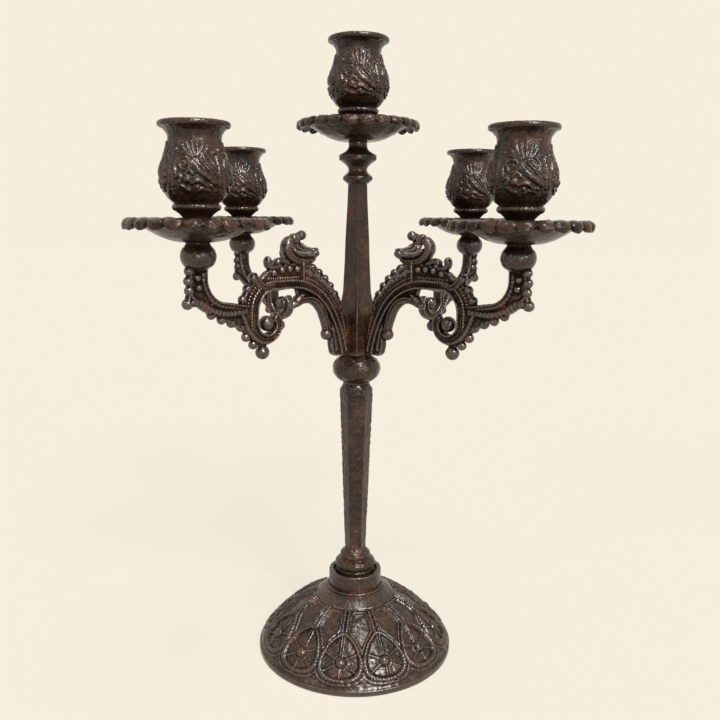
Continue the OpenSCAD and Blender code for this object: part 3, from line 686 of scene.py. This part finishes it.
def rib(bm, line, widths, depths, shift=0, rope=0, pitch=1.7):
    """Sweeps an oval section along bends, or a curve through points, with notches as on a rope.

    The half widths and half depths are spread evenly along the line."""
    if isinstance(line, list):
        places = np.array([complex(*p) for p in smooth_line(line, line_steps)])
        courses = np.unwrap(np.angle(np.gradient(places)))
    else:
        places, courses = chain(*line)
    spots = np.linspace(0, 1, len(places))
    way = np.concatenate([[0], np.cumsum(np.abs(np.diff(places)))])
    half_w = np.interp(spots, np.linspace(0, 1, len(widths)), widths)
    half_d = np.interp(spots, np.linspace(0, 1, len(depths)), depths)
    to_end = np.clip(np.minimum(way, way[-1] - way) / half_w, least_end, 1)
    cut = np.sqrt(1 - (1 - to_end) ** 2) * (1 - rope * (0.5 + 0.5 * np.cos(2 * math.pi * way / pitch)))
    places = places + 1j * np.exp(1j * courses) * shift
    turns = []
    for place, course, w, d in zip(places, courses, half_w * cut, half_d * cut):
        turns.append(Matrix(((-math.sin(course) * w, 0, math.cos(course), place.real), (0, d, 0, 0),
                             (math.cos(course) * w, 0, math.sin(course), place.imag), (0, 0, 0, 1))))
    part = bmesh.new()
    bmesh.ops.create_circle(part, cap_ends=True, radius=1, segments=rib_sides, matrix=turns[0])
    edges = list(part.edges)
    for before, after in zip(turns, turns[1:]):
        grown = bmesh.ops.extrude_edge_only(part, edges=edges)["geom"]
        bmesh.ops.transform(part, matrix=after @ before.inverted(),
                            verts=[g for g in grown if isinstance(g, bmesh.types.BMVert)])
        edges = [g for g in grown if isinstance(g, bmesh.types.BMEdge)]
    bmesh.ops.holes_fill(part, edges=edges, sides=rib_sides)
    join(bm, part)


def join(bm, part):
    """Adds one bmesh to another and ends it."""
    mesh = bpy.data.meshes.new("part")
    part.to_mesh(mesh)
    part.free()
    bm.from_mesh(mesh)
    bpy.data.meshes.remove(mesh)


def ball(bm, place, r, side=0, height=1):
    """A ball in the plane of the arm, or to one side of it."""
    part = bmesh.new()
    matrix = Matrix.Translation((place[0], side, place[1])) @ Matrix.Diagonal((1, height, 1, 1))
    bmesh.ops.create_uvsphere(part, u_segments=24, v_segments=14, radius=r, matrix=matrix)
    join(bm, part)


def plate(bm, corners, push):
    """A flat plate, drawn out from a face with these corners."""
    face = bm.faces.new([bm.verts.new(corner) for corner in corners])
    drawn = bmesh.ops.extrude_face_region(bm, geom=[face])["geom"]
    bmesh.ops.translate(bm, verts=[g for g in drawn if isinstance(g, bmesh.types.BMVert)], vec=push)


def arm_ribs(bm):
    """The scrolls, leaves and folds of an arm."""
    rib(bm, scroll, [3.2, 3.1, 2.7, 2.2], [2.7, 2.7, 2.6, 2.4])
    rib(bm, scroll, [1.5, 1.5, 1.3, 1.0], [3.9, 3.9, 3.5, 3.0], shift=1.8, rope=0.12)
    rib(bm, scroll, [1.15, 1.15, 1.1, 0.9], [4.3, 4.3, 4.1, 3.6], shift=-2.1, rope=0.05)
    rib(bm, cee, [2.2, 2.3, 2.0], [3.2, 3.3, 3.0], rope=0.05, pitch=2.4)
    rib(bm, cee, [0.8, 0.8], [4.0, 4.0], shift=-1.4, rope=0.1, pitch=2.0)
    rib(bm, spur, [2.7, 2.5, 2.4], [3.4, 4.0, 3.8], rope=0.07, pitch=2.6)
    rib(bm, spur_fold, [0.9, 1.3, 1.1, 0.7], [3.0, 3.3, 3.1, 2.6])
    rib(bm, leaf, [2.2, 2.4, 2.5, 2.4, 1.8], [2.7, 3.0, 3.0, 2.9, 2.6])
    rib(bm, leaf, [0.7, 0.85, 0.85, 0.8], [3.0, 3.5, 3.5, 3.1], shift=-1.3)
    rib(bm, leaf_lobe, [2.1, 2.5, 1.1], [2.8, 3.5, 2.9])
    rib(bm, top_leaf, [2.0, 2.7, 2.9, 2.9, 2.8, 2.7, 2.6, 2.6, 2.4],
        [2.9, 3.6, 3.8, 3.8, 3.6, 3.4, 3.2, 3.0, 2.8])
    rib(bm, top_leaf_fold, [1.0, 1.6, 1.9, 1.9, 1.8, 1.5], [3.0, 4.0, 4.3, 4.2, 3.8, 3.0])
    rib(bm, crest_curl, [1.7, 2.7, 3.1, 3.0, 2.7], [3.0, 3.4, 3.4, 3.3, 3.0])
    rib(bm, crest_curl, [0.8, 0.9, 0.8], [3.5, 4.0, 3.4], shift=1.3)
    rib(bm, small_curl, [2.5, 2.2, 1.9, 1.8, 1.3], [2.7, 2.7, 2.7, 2.7, 2.5])
    rib(bm, small_wave, [1.2, 1.8, 1.9, 1.6, 1.1], [2.3, 2.7, 2.8, 2.6, 2.3])
    rib(bm, post, [1.0, 1.0], [4.0, 4.0])
    rib(bm, root_fold, [2.7, 2.3, 1.8], [3.3, 3.1, 2.7])
    rib(bm, root_edge, [1.9, 1.7, 1.3], [3.0, 3.0, 2.8], rope=0.1, pitch=2.2)


def on_arch(r, angle):
    """The place on the arch of the arm at a radius and an angle in degrees."""
    turn = math.radians(angle)
    return arch_centre[0] + r * math.cos(turn), arch_centre[1] + r * math.sin(turn)


def arm_ropes(bm):
    """The roped lines of an arm, and the band along its spiral."""
    r, first, last = arch_rope
    arch_line = (on_arch(r, first), first - 90, [(r, last - first)])
    rib(bm, arch_line, [1.3, 1.5, 1.5], [3.0, 3.0, 3.0], rope=rope_notch)
    rib(bm, flank_rope, [1.7, 1.9, 1.7], [3.2, 3.3, 3.2], rope=rope_notch, pitch=1.9)
    rib(bm, crest_rope, [1.3, 1.5, 1.3], [3.1, 3.2, 3.1], rope=rope_notch)
    rib(bm, spiral_band, [1.3, 1.9, 2.1, 2.1, 1.9, 1.5, 0.9], [3.2, 3.9, 3.9, 3.8, 3.6, 3.3, 2.8],
        rope=0.06, pitch=2.4)


def arm_beads(bm):
    """The beads, rosettes and balls of an arm."""
    for place in edge_beads:
        ball(bm, place, bead_r)
    for angle in arch_bead_angles:
        ball(bm, on_arch(arch_beads_r, angle), bead_r)
    for place in rosettes:
        for side in (-web_half_t, web_half_t):
            ball(bm, place, rosette_r, side, rosette_h)
    for place, r in end_balls:
        ball(bm, place, r)


def arm_end():
    """The ball under the pan and its neck, drilled for the screw of the cup."""
    ends = smooth_line([(4.4, -7.6), (5.2, -6.8), (7.6, -5.2), (9.1, -2.4), (9.4, 0.3), (8.7, 2.9),
                        (7.2, 4.7), (end_neck_r, 6.0)], 4)
    outside = [(r, end_ball_h + z) for r, z in ends] + [(end_neck_r, arm_seat_h)]
    drilling = [(screw_bore_r, arm_seat_h), (screw_bore_r, end_ball_h - drill_depth)]
    part = lathe(outside, drilling, end_steps, end_edge)
    bmesh.ops.scale(part, verts=part.verts, vec=(1 / MM, 1 / MM, 1 / MM))
    bmesh.ops.translate(part, verts=part.verts, vec=(arm_r - arm_foot_r, 0, 0))
    return part


arm_bm = bmesh.new()
for outline in (root_web, crest_web, upright_web, outer_web, haunch_web, beads_web):
    plate(arm_bm, [(x, -web_half_t, z) for x, z in outline], (0, 2 * web_half_t, 0))
for outline in (leaf_web, top_leaf_web):
    plate(arm_bm, [(x, -thin_web_half_t, z) for x, z in outline], (0, 2 * thin_web_half_t, 0))
key = [(1, -1.8, 0), (0, -1.8, 0), (-2.6, -2.6, 0), (-2.6, 2.6, 0), (0, 1.8, 0), (1, 1.8, 0)]
plate(arm_bm, key, (0, 0, key_top))
arm_ribs(arm_bm)
arm_ropes(arm_bm)
arm_beads(arm_bm)
join(arm_bm, arm_end())
bmesh.ops.translate(arm_bm, verts=arm_bm.verts, vec=(arm_foot_r, 0, core_z))
bmesh.ops.scale(arm_bm, verts=arm_bm.verts, vec=(MM, MM, MM))
bmesh.ops.recalc_face_normals(arm_bm, faces=arm_bm.faces)
pattern = bpy.data.objects.new("arm_pattern", to_mesh("arm_pattern", arm_bm))
bpy.context.scene.collection.objects.link(pattern)
fuse = pattern.modifiers.new("fuse", "REMESH")
fuse.mode = "VOXEL"
fuse.voxel_size = arm_voxel * MM
fused = pattern.evaluated_get(bpy.context.evaluated_depsgraph_get())
arm_bm = bmesh.new()
arm_bm.from_mesh(bpy.data.meshes.new_from_object(fused))
bpy.data.objects.remove(pattern)
bmesh.ops.smooth_vert(arm_bm, verts=arm_bm.verts, factor=0.5, use_axis_x=True, use_axis_y=True,
                      use_axis_z=True)
arm_mesh = to_mesh("arm_iron", arm_bm)
swell(arm_mesh, dents(arm_mesh, *arm_dents, seed=6))
note_hollows(arm_mesh, 5)
arm_iron = cast_iron("arm_iron", rust_share=0.10, gloss=0.18, shine=1.6)
for place, azimuth_deg in arm_azimuths.items():
    mesh = arm_mesh.copy()
    mesh.transform(Matrix.Rotation(math.radians(azimuth_deg), 4, "Z"))
    iron_piece("arm_" + place + "_iron", mesh, arm_iron, "arm_" + place)

# Drip pans
# Thin cast dishes with a smooth bowl and a brim of 24 pillow-shaped lobes that curl down. Each
# is clamped between its seat and the foot of a cup by the screw of the cup.
lights = {place: "pan_" + place for place in ("top", "front_left", "front_right", "rear_left", "rear_right")}
pan_wall = 2.4
pan_floor_r = 9.6
lobe_count = 24
pan_steps = 240
pan_edge = 1.0
brim_span = (30, 35)
brim_under = (11, 7.5)
pillow_power = 2.4
lobe_out = 1.1
lobe_up = 0.5
lobe_down = 2.2
groove_up = 1.2
brim_dents = (0.36, 2.2)
brim_dents_span = (31, 34)
bowl_dents = (0.13, 3.2)
pan_under = smooth_line([(pan_floor_r, 0), (13, 0.6), (18, 2.3), (23, 4.9), (27.5, 7.6), (31, 9.4),
                         (33.3, 9.7)], 6)
pan_roll = smooth_line([(34.7, 8.6), (35.9, 7.5), (37.0, 7.7), (37.6, 9.0), (37.2, 10.7), (35.8, 11.9),
                        (33.6, 12.4), (31, 11.9), (28, 10.4), (24, 8.2), (18.5, 5.3), (13, 3.1)], 6)
pan_hole = [(pan_floor_r, pan_wall), (screw_bore_r, pan_wall), (screw_bore_r, 0)]


def seat_of(place):
    """Foot of a light: where the middle of the underside of its pan stands, in millimetres."""
    low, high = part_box(lights[place])
    return np.array([(low.x + high.x) / 2, (low.y + high.y) / 2, low.z]) / MM


def pan_relief(points):
    """Shapes the lobes of the brim: pillows parted by grooves, with wavy lower ends."""
    radius = np.hypot(points[:, 0], points[:, 1])
    azimuth = np.arctan2(points[:, 1], points[:, 0])
    half_pitch = math.pi / lobe_count
    across = (np.mod(azimuth, 2 * half_pitch) - half_pitch) * radius
    half_lobe = half_pitch * radius
    pillow = 1 - np.clip(np.abs(across) / half_lobe, 0, 1) ** pillow_power
    brim = ramp(radius, *brim_span)
    low = ramp(points[:, 2], *brim_under)
    points[:, :2] *= (1 + brim * (lobe_out * pillow - lobe_out) / radius)[:, None]
    under = groove_up - lobe_down * pillow
    points[:, 2] += brim * (low * under + (1 - low) * (lobe_up * pillow - lobe_up))
    return points


pan_iron = cast_iron("pan_iron", rust_share=0.03, gloss=0.17, shine=0.9)
plain_pan = to_mesh("plain_pan", lathe(pan_under + pan_roll, pan_hole, pan_steps, pan_edge))
put_points(plain_pan, pan_relief(points_of(plain_pan)))
for number, (place, node) in enumerate(lights.items()):
    mesh = plain_pan.copy()
    radius = np.hypot(*points_of(mesh)[:, :2].T)
    marks = dents(mesh, *brim_dents, seed=10 + number) * ramp(radius, *brim_dents_span)
    marks = marks + dents(mesh, *bowl_dents, seed=20 + number)
    swell(mesh, np.where(radius > pan_floor_r + 1, marks, 0))
    note_hollows(mesh, 4)
    put_points(mesh, points_of(mesh) + seat_of(place))
    iron_piece(node + "_iron", mesh, pan_iron, node)
bpy.data.meshes.remove(plain_pan)

# Candle cups
# Vase-shaped cast cups with a rolled lip, a socket for a 22 mm candle, and leaf and scroll
# work on the body. Each stands on its pan, held by the screw through its floor.
socket_r = 11.15
socket_floor = 24
mouth_start = 49.3
mouth_r = 15.5
head_room_r = 4.9
head_room_h = 3.3
cup_steps = 264
cup_edge = 0.5
body_low = 18
body_high = 50
motif_count = 4
motif_r = 15.5
line_gain = 1.35
line_spread = 1.2
bead_ring_h = 0.12
bead_ring_z = 15.2
bead_ring_half_w = 1.1
bead_ring_waves = 34
cup_dents = (0.17, 2.4)
cup_fine_dents = (0.09, 0.9)
wall_heights = [20, 20.5, 49, 57.4]
wall_inner_r = [5.5, 11.3, 11.3, 15.7]
cup_body = smooth_line([(11.3, 17.2), (13.7, 19.2), (15.9, 22.6), (17.3, 26), (17.95, 29.6), (17.7, 33),
                        (16.7, 36.6), (15.6, 40), (14.5, 43.4), (13.8, 46.8), (13.55, 49.8), (14.4, 52.2),
                        (16.2, 54.2)], 6)
cup_foot = smooth_line([(8.4, 1.2), (6.7, 3), (6.1, 5.4), (6.2, 7.8), (7.1, 9.9), (8.9, 11.9),
                        (10.7, 13.3)], 5)
cup_outline = ([(8.4, 0)] + cup_foot + arc(10.4, 15.3, 2.0, -68, 72, 8) + cup_body
               + arc(16.8, 56.1, 1.65, -50, 115, 9))
cup_socket = [(mouth_r, 57.2), (socket_r, mouth_start), (socket_r, socket_floor),
              (head_room_r, socket_floor), (head_room_r, socket_floor - head_room_h),
              (screw_bore_r, socket_floor - head_room_h), (screw_bore_r, 0)]
# Lines of the ornament: half width, height, and points across from the middle of a motif and up
cup_lines = [
    (0.75, 0.75, [(-10.4, 31.5), (-10.4, 35.2), (-8, 38.3), (-4.9, 39.2), (-2.9, 37.2), (-3.4, 35.4)]),
    (0.7, 0.65, [(-8.3, 36), (-7.6, 34.2), (-5.9, 33.2), (-3.8, 33.8), (-2.4, 35.2)]),
    (0.6, 0.6, [(-7.4, 36.2), (-6, 37.3), (-4.9, 36.4), (-5.6, 35.2)]),
    (0.9, 0.5, [(-2.4, 39.4), (-5, 42), (-7.4, 45)]),
    (0.9, 0.5, [(-1.6, 40.4), (-3.4, 43.2), (-4.7, 46)]),
    (0.9, 0.5, [(-0.4, 40.2), (-1.3, 43.6), (-1.9, 46.8)]),
    (0.9, 0.5, [(1.1, 40.2), (1.3, 43.6), (1.3, 46.8)]),
    (0.9, 0.5, [(2.2, 40), (3.5, 43), (4.6, 46.2)]),
    (0.9, 0.5, [(3.5, 39.6), (5.6, 42), (7.5, 44.6)]),
    (0.7, 0.6, [(-1.4, 39.4), (-4.6, 40.9), (-8.3, 41.8)]),
    (0.7, 0.6, [(2.4, 38.6), (3.4, 40.4), (5.3, 40.7), (7.2, 39), (9.4, 36.2), (10.5, 33.9)]),
    (0.6, 0.6, [(4.2, 39), (5.4, 37.8), (7.6, 36), (9.4, 34)]),
    (0.55, 0.8, [(2.7, 37.4), (6.4, 33.4), (10.2, 29.4)]),
    (0.55, 0.8, [(4.1, 38), (7.8, 34), (11.4, 30.2)]),
    (1.5, 0.8, [(-1.6, 36.4), (1.2, 33.4), (5, 30.8), (9.4, 27.6)]),
    (0.9, 0.6, [(-2.2, 37), (-0.8, 34.4), (0.4, 32.4)]),
    (0.7, 0.6, [(-5.2, 31), (-3.8, 32.4), (-2.2, 32.4), (-1.2, 31)]),
    (0.9, 0.7, [(-2, 26.8), (0.6, 27.8), (3, 27.2), (5.2, 25.4)]),
    (0.8, 0.6, [(-10.2, 29.6), (-8.6, 30.6), (-7.4, 29.4), (-8.2, 28.2)]),
    (0.8, 0.5, [(-8, 26), (-5.6, 24.4), (-3.2, 23.4)]),
    (0.8, 0.5, [(1, 23.4), (3.4, 24.2), (6.4, 23.6)]),
    (0.9, 0.6, [(-13.6, 27.6), (-14.1, 32), (-13.7, 36.5), (-12.4, 40.8)]),
    (0.7, 0.5, [(-11.9, 25.6), (-12.3, 29.6), (-12.1, 34)]),
    (0.7, 0.5, [(12.4, 25.6), (12.9, 30), (12.6, 34.5), (11.4, 39.6)]),
]
cup_knobs = [(2.0, 1.1, (-4.2, 28.4)), (1.1, 0.8, (-7.9, 27.6)), (1.0, 0.7, (0.6, 25)),
             (1.2, 0.7, (7.6, 25.4)), (1.0, 0.7, (9.6, 41.6)), (1.0, 0.7, (-10.6, 43)),
             (0.9, 0.6, (-4.6, 36.3))]


def cup_relief(points):
    """Lift of the ornament on the body of a cup."""
    radius = np.hypot(points[:, 0], points[:, 1])
    on_body = (radius > socket_r + 1.5) & (points[:, 2] > body_low) & (points[:, 2] < body_high)
    lift = np.zeros(len(points))
    body = points[on_body]
    pitch = 2 * math.pi / motif_count
    azimuth = np.arctan2(body[:, 1], body[:, 0])
    azimuth -= pitch * np.round(azimuth / pitch)
    spots = azimuth * np.maximum(radius[on_body], motif_r) + 1j * body[:, 2]
    raised = np.zeros(len(body))
    for half_w, height, stops in cup_lines:
        line = np.array([complex(*p) for p in smooth_line(stops, 8)])
        distance = np.full(len(body), np.inf)
        for a, b in zip(line, line[1:]):
            along = np.clip(((spots - a) * np.conj(b - a)).real / abs(b - a) ** 2, 0, 1)
            distance = np.minimum(distance, np.abs(spots - a - along * (b - a)))
        raised = np.maximum(raised, line_gain * height * bump(distance, half_w * line_spread))
    for r, height, place in cup_knobs:
        raised = np.maximum(raised, line_gain * height * bump(np.abs(spots - complex(*place)), r))
    lift[on_body] = raised * ramp(body[:, 2], body_low, 20.5)
    return lift


cup_iron = cast_iron("cup_iron", rust_share=0.09, gloss=0.17, shine=1.7)
cup_turns = {"top": -90, "front_left": -79, "front_right": -101, "rear_left": -82, "rear_right": -98}
plain_cup = to_mesh("plain_cup", lathe(cup_outline, cup_socket, cup_steps, cup_edge))
swell(plain_cup, cup_relief(points_of(plain_cup)))
for number, place in enumerate(lights):
    mesh = plain_cup.copy()
    mesh.transform(Matrix.Rotation(math.radians(cup_turns[place]), 4, "Z"))
    x, y, z = points_of(mesh).T
    radius = np.hypot(x, y)
    outside = (z > 0.8) & (radius > wall_inner_r[0]) & (radius > np.interp(z, wall_heights, wall_inner_r))
    beads = bead_ring_h * np.exp(-((z - bead_ring_z) / bead_ring_half_w) ** 2)
    beads = beads * np.sin(bead_ring_waves * np.arctan2(y, x))
    skin = dents(mesh, *cup_dents, seed=40 + number) * ramp(z, 14, 20) * ramp(z, 57.5, 54)
    skin = skin + beads + dents(mesh, *cup_fine_dents, seed=60 + number)
    swell(mesh, np.where(outside, skin, 0))
    note_hollows(mesh, 3)
    put_points(mesh, points_of(mesh) + seat_of(place) + [0, 0, pan_wall])
    iron_piece("cup_" + place + "_iron", mesh, cup_iron, "cup_" + place)
bpy.data.meshes.remove(plain_cup)

# Tie rod, washer, nut and screws
# Plain zinc-plated steel that holds the castings together. The rod and its nut are seen only
# from below, and the screws only down the sockets of the cups.
zinc = (0.40, 0.38, 0.35, 1)
grime_brown = (0.16, 0.13, 0.11, 1)
turning_depth = 0.0002


def dull_steel():
    """Zinc-plated steel with turning marks and a little grime."""
    material = bpy.data.materials.new("dull_steel")
    material.use_nodes = True
    tree = material.node_tree
    shader = tree.nodes["Principled BSDF"]
    place = tree.nodes.new("ShaderNodeTexCoord").outputs["Object"]
    grime = noise(tree, place, 260, 4)
    marks = noise(tree, place, 1800, 2, roughness=0.5)
    tone = blend(tree, spread(tree, grime, 0.45, 0.68, 0, 1), zinc, grime_brown)
    tree.links.new(tone, shader.inputs["Base Color"])
    tree.links.new(spread(tree, grime, 0.3, 0.7, 0.28, 0.55), shader.inputs["Roughness"])
    shader.inputs["Metallic"].default_value = 0.9
    skin = shader_node(tree, "Bump", Strength=0.3, Distance=turning_depth, Height=marks)
    tree.links.new(skin.outputs["Normal"], shader.inputs["Normal"])
    return material


steel = dull_steel()
for name in ["tie_rod", "base_washer", "base_nut"] + ["screw_" + place for place in lights]:
    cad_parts[name].data.materials.clear()
    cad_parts[name].data.materials.append(steel)

# Floor, light and camera
# A plain cream floor runs out of sight under a cream sky. The main light stands high at the front
# right, with one almost overhead and weak ones low at the right, the front and the left. The
# camera stands where the photograph was taken.
cream = (0.925, 0.850, 0.735, 1)
matt_cream = (0.50, 0.46, 0.398, 1)
lamp_white = (1, 0.99, 0.97)
floor_r = 6.0
floor_z = -0.0002
floor_glow = 0.78
glow_strength = 1.09
sky_light = 0.16

floor_bm = bmesh.new()
bmesh.ops.create_circle(floor_bm, cap_ends=True, radius=floor_r, segments=64)
bmesh.ops.translate(floor_bm, verts=floor_bm.verts, vec=(0, 0, floor_z))
floor_mesh = bpy.data.meshes.new("floor")
floor_bm.to_mesh(floor_mesh)
floor_bm.free()
floor = bpy.data.objects.new("floor", floor_mesh)
bpy.context.scene.collection.objects.link(floor)


def larger(tree, first, second):
    """The larger of two values."""
    made = tree.nodes.new("ShaderNodeMath")
    made.operation = "MAXIMUM"
    tree.links.new(first, made.inputs[0])
    tree.links.new(second, made.inputs[1])
    return made.outputs[0]


def seen_directly(tree):
    """1 for rays from the camera and in gloss and glass, 0 for the light that falls on things."""
    path = tree.nodes.new("ShaderNodeLightPath").outputs
    shown = larger(tree, path["Is Camera Ray"], path["Is Glossy Ray"])
    return larger(tree, shown, path["Is Transmission Ray"])


def floor_paint():
    """Matt cream paint under a glow of its own where it is seen, so that its shadow stays faint."""
    material = bpy.data.materials.new("floor_paint")
    material.use_nodes = True
    tree = material.node_tree
    shader = tree.nodes["Principled BSDF"]
    shader.inputs["Base Color"].default_value = matt_cream
    shader.inputs["Roughness"].default_value = 0.9
    shader.inputs["Specular IOR Level"].default_value = 0.0
    glow = shader_node(tree, "Emission", Color=cream, Strength=glow_strength)
    mix = tree.nodes.new("ShaderNodeMixShader")
    tree.links.new(spread(tree, seen_directly(tree), 0, 1, 0, floor_glow), mix.inputs[0])
    tree.links.new(shader.outputs[0], mix.inputs[1])
    tree.links.new(glow.outputs[0], mix.inputs[2])
    tree.links.new(mix.outputs[0], tree.nodes["Material Output"].inputs["Surface"])
    return material


floor_mesh.materials.append(floor_paint())

world = bpy.data.worlds.new("studio")
bpy.context.scene.world = world
world.use_nodes = True
sky = world.node_tree
background = sky.nodes["Background"]
background.inputs["Color"].default_value = cream
sky.links.new(spread(sky, seen_directly(sky), 0, 1, sky_light, 1.0), background.inputs["Strength"])


def sun(name, azimuth_deg, elevation_deg, width_deg, strength):
    """A soft light from far away; azimuth 0 comes from the camera and 90 from its right."""
    light = bpy.data.lights.new(name, "SUN")
    light.energy = strength
    light.angle = math.radians(width_deg)
    light.color = lamp_white
    lamp = bpy.data.objects.new(name, light)
    lamp.rotation_euler = Euler((math.radians(90 - elevation_deg), 0, math.radians(azimuth_deg)))
    bpy.context.scene.collection.objects.link(lamp)


sun("main_light", 26, 40, 15, 3.0)
sun("top_light", 28, 72, 20, 1.5)
sun("right_light", 44, 14, 10, 0.4)
sun("front_light", 10, 5, 14, 0.4)
sun("left_light", -48, 28, 10, 0.25)

camera_place = Vector((-5.03, -487.34, 290.73)) * MM
camera_turn, camera_tilt, camera_roll = -0.858, 79.164, 0.435
camera_data = bpy.data.cameras.new("camera")
camera_data.lens = 38.47
camera_data.sensor_width = 36
camera = bpy.data.objects.new("camera", camera_data)
camera.matrix_world = (Matrix.Translation(camera_place) @ Matrix.Rotation(math.radians(camera_turn), 4, "Z")
                       @ Matrix.Rotation(math.radians(camera_tilt), 4, "X")
                       @ Matrix.Rotation(math.radians(camera_roll), 4, "Z"))
bpy.context.scene.collection.objects.link(camera)
bpy.context.scene.camera = camera
bpy.context.scene.view_settings.view_transform = "Standard"
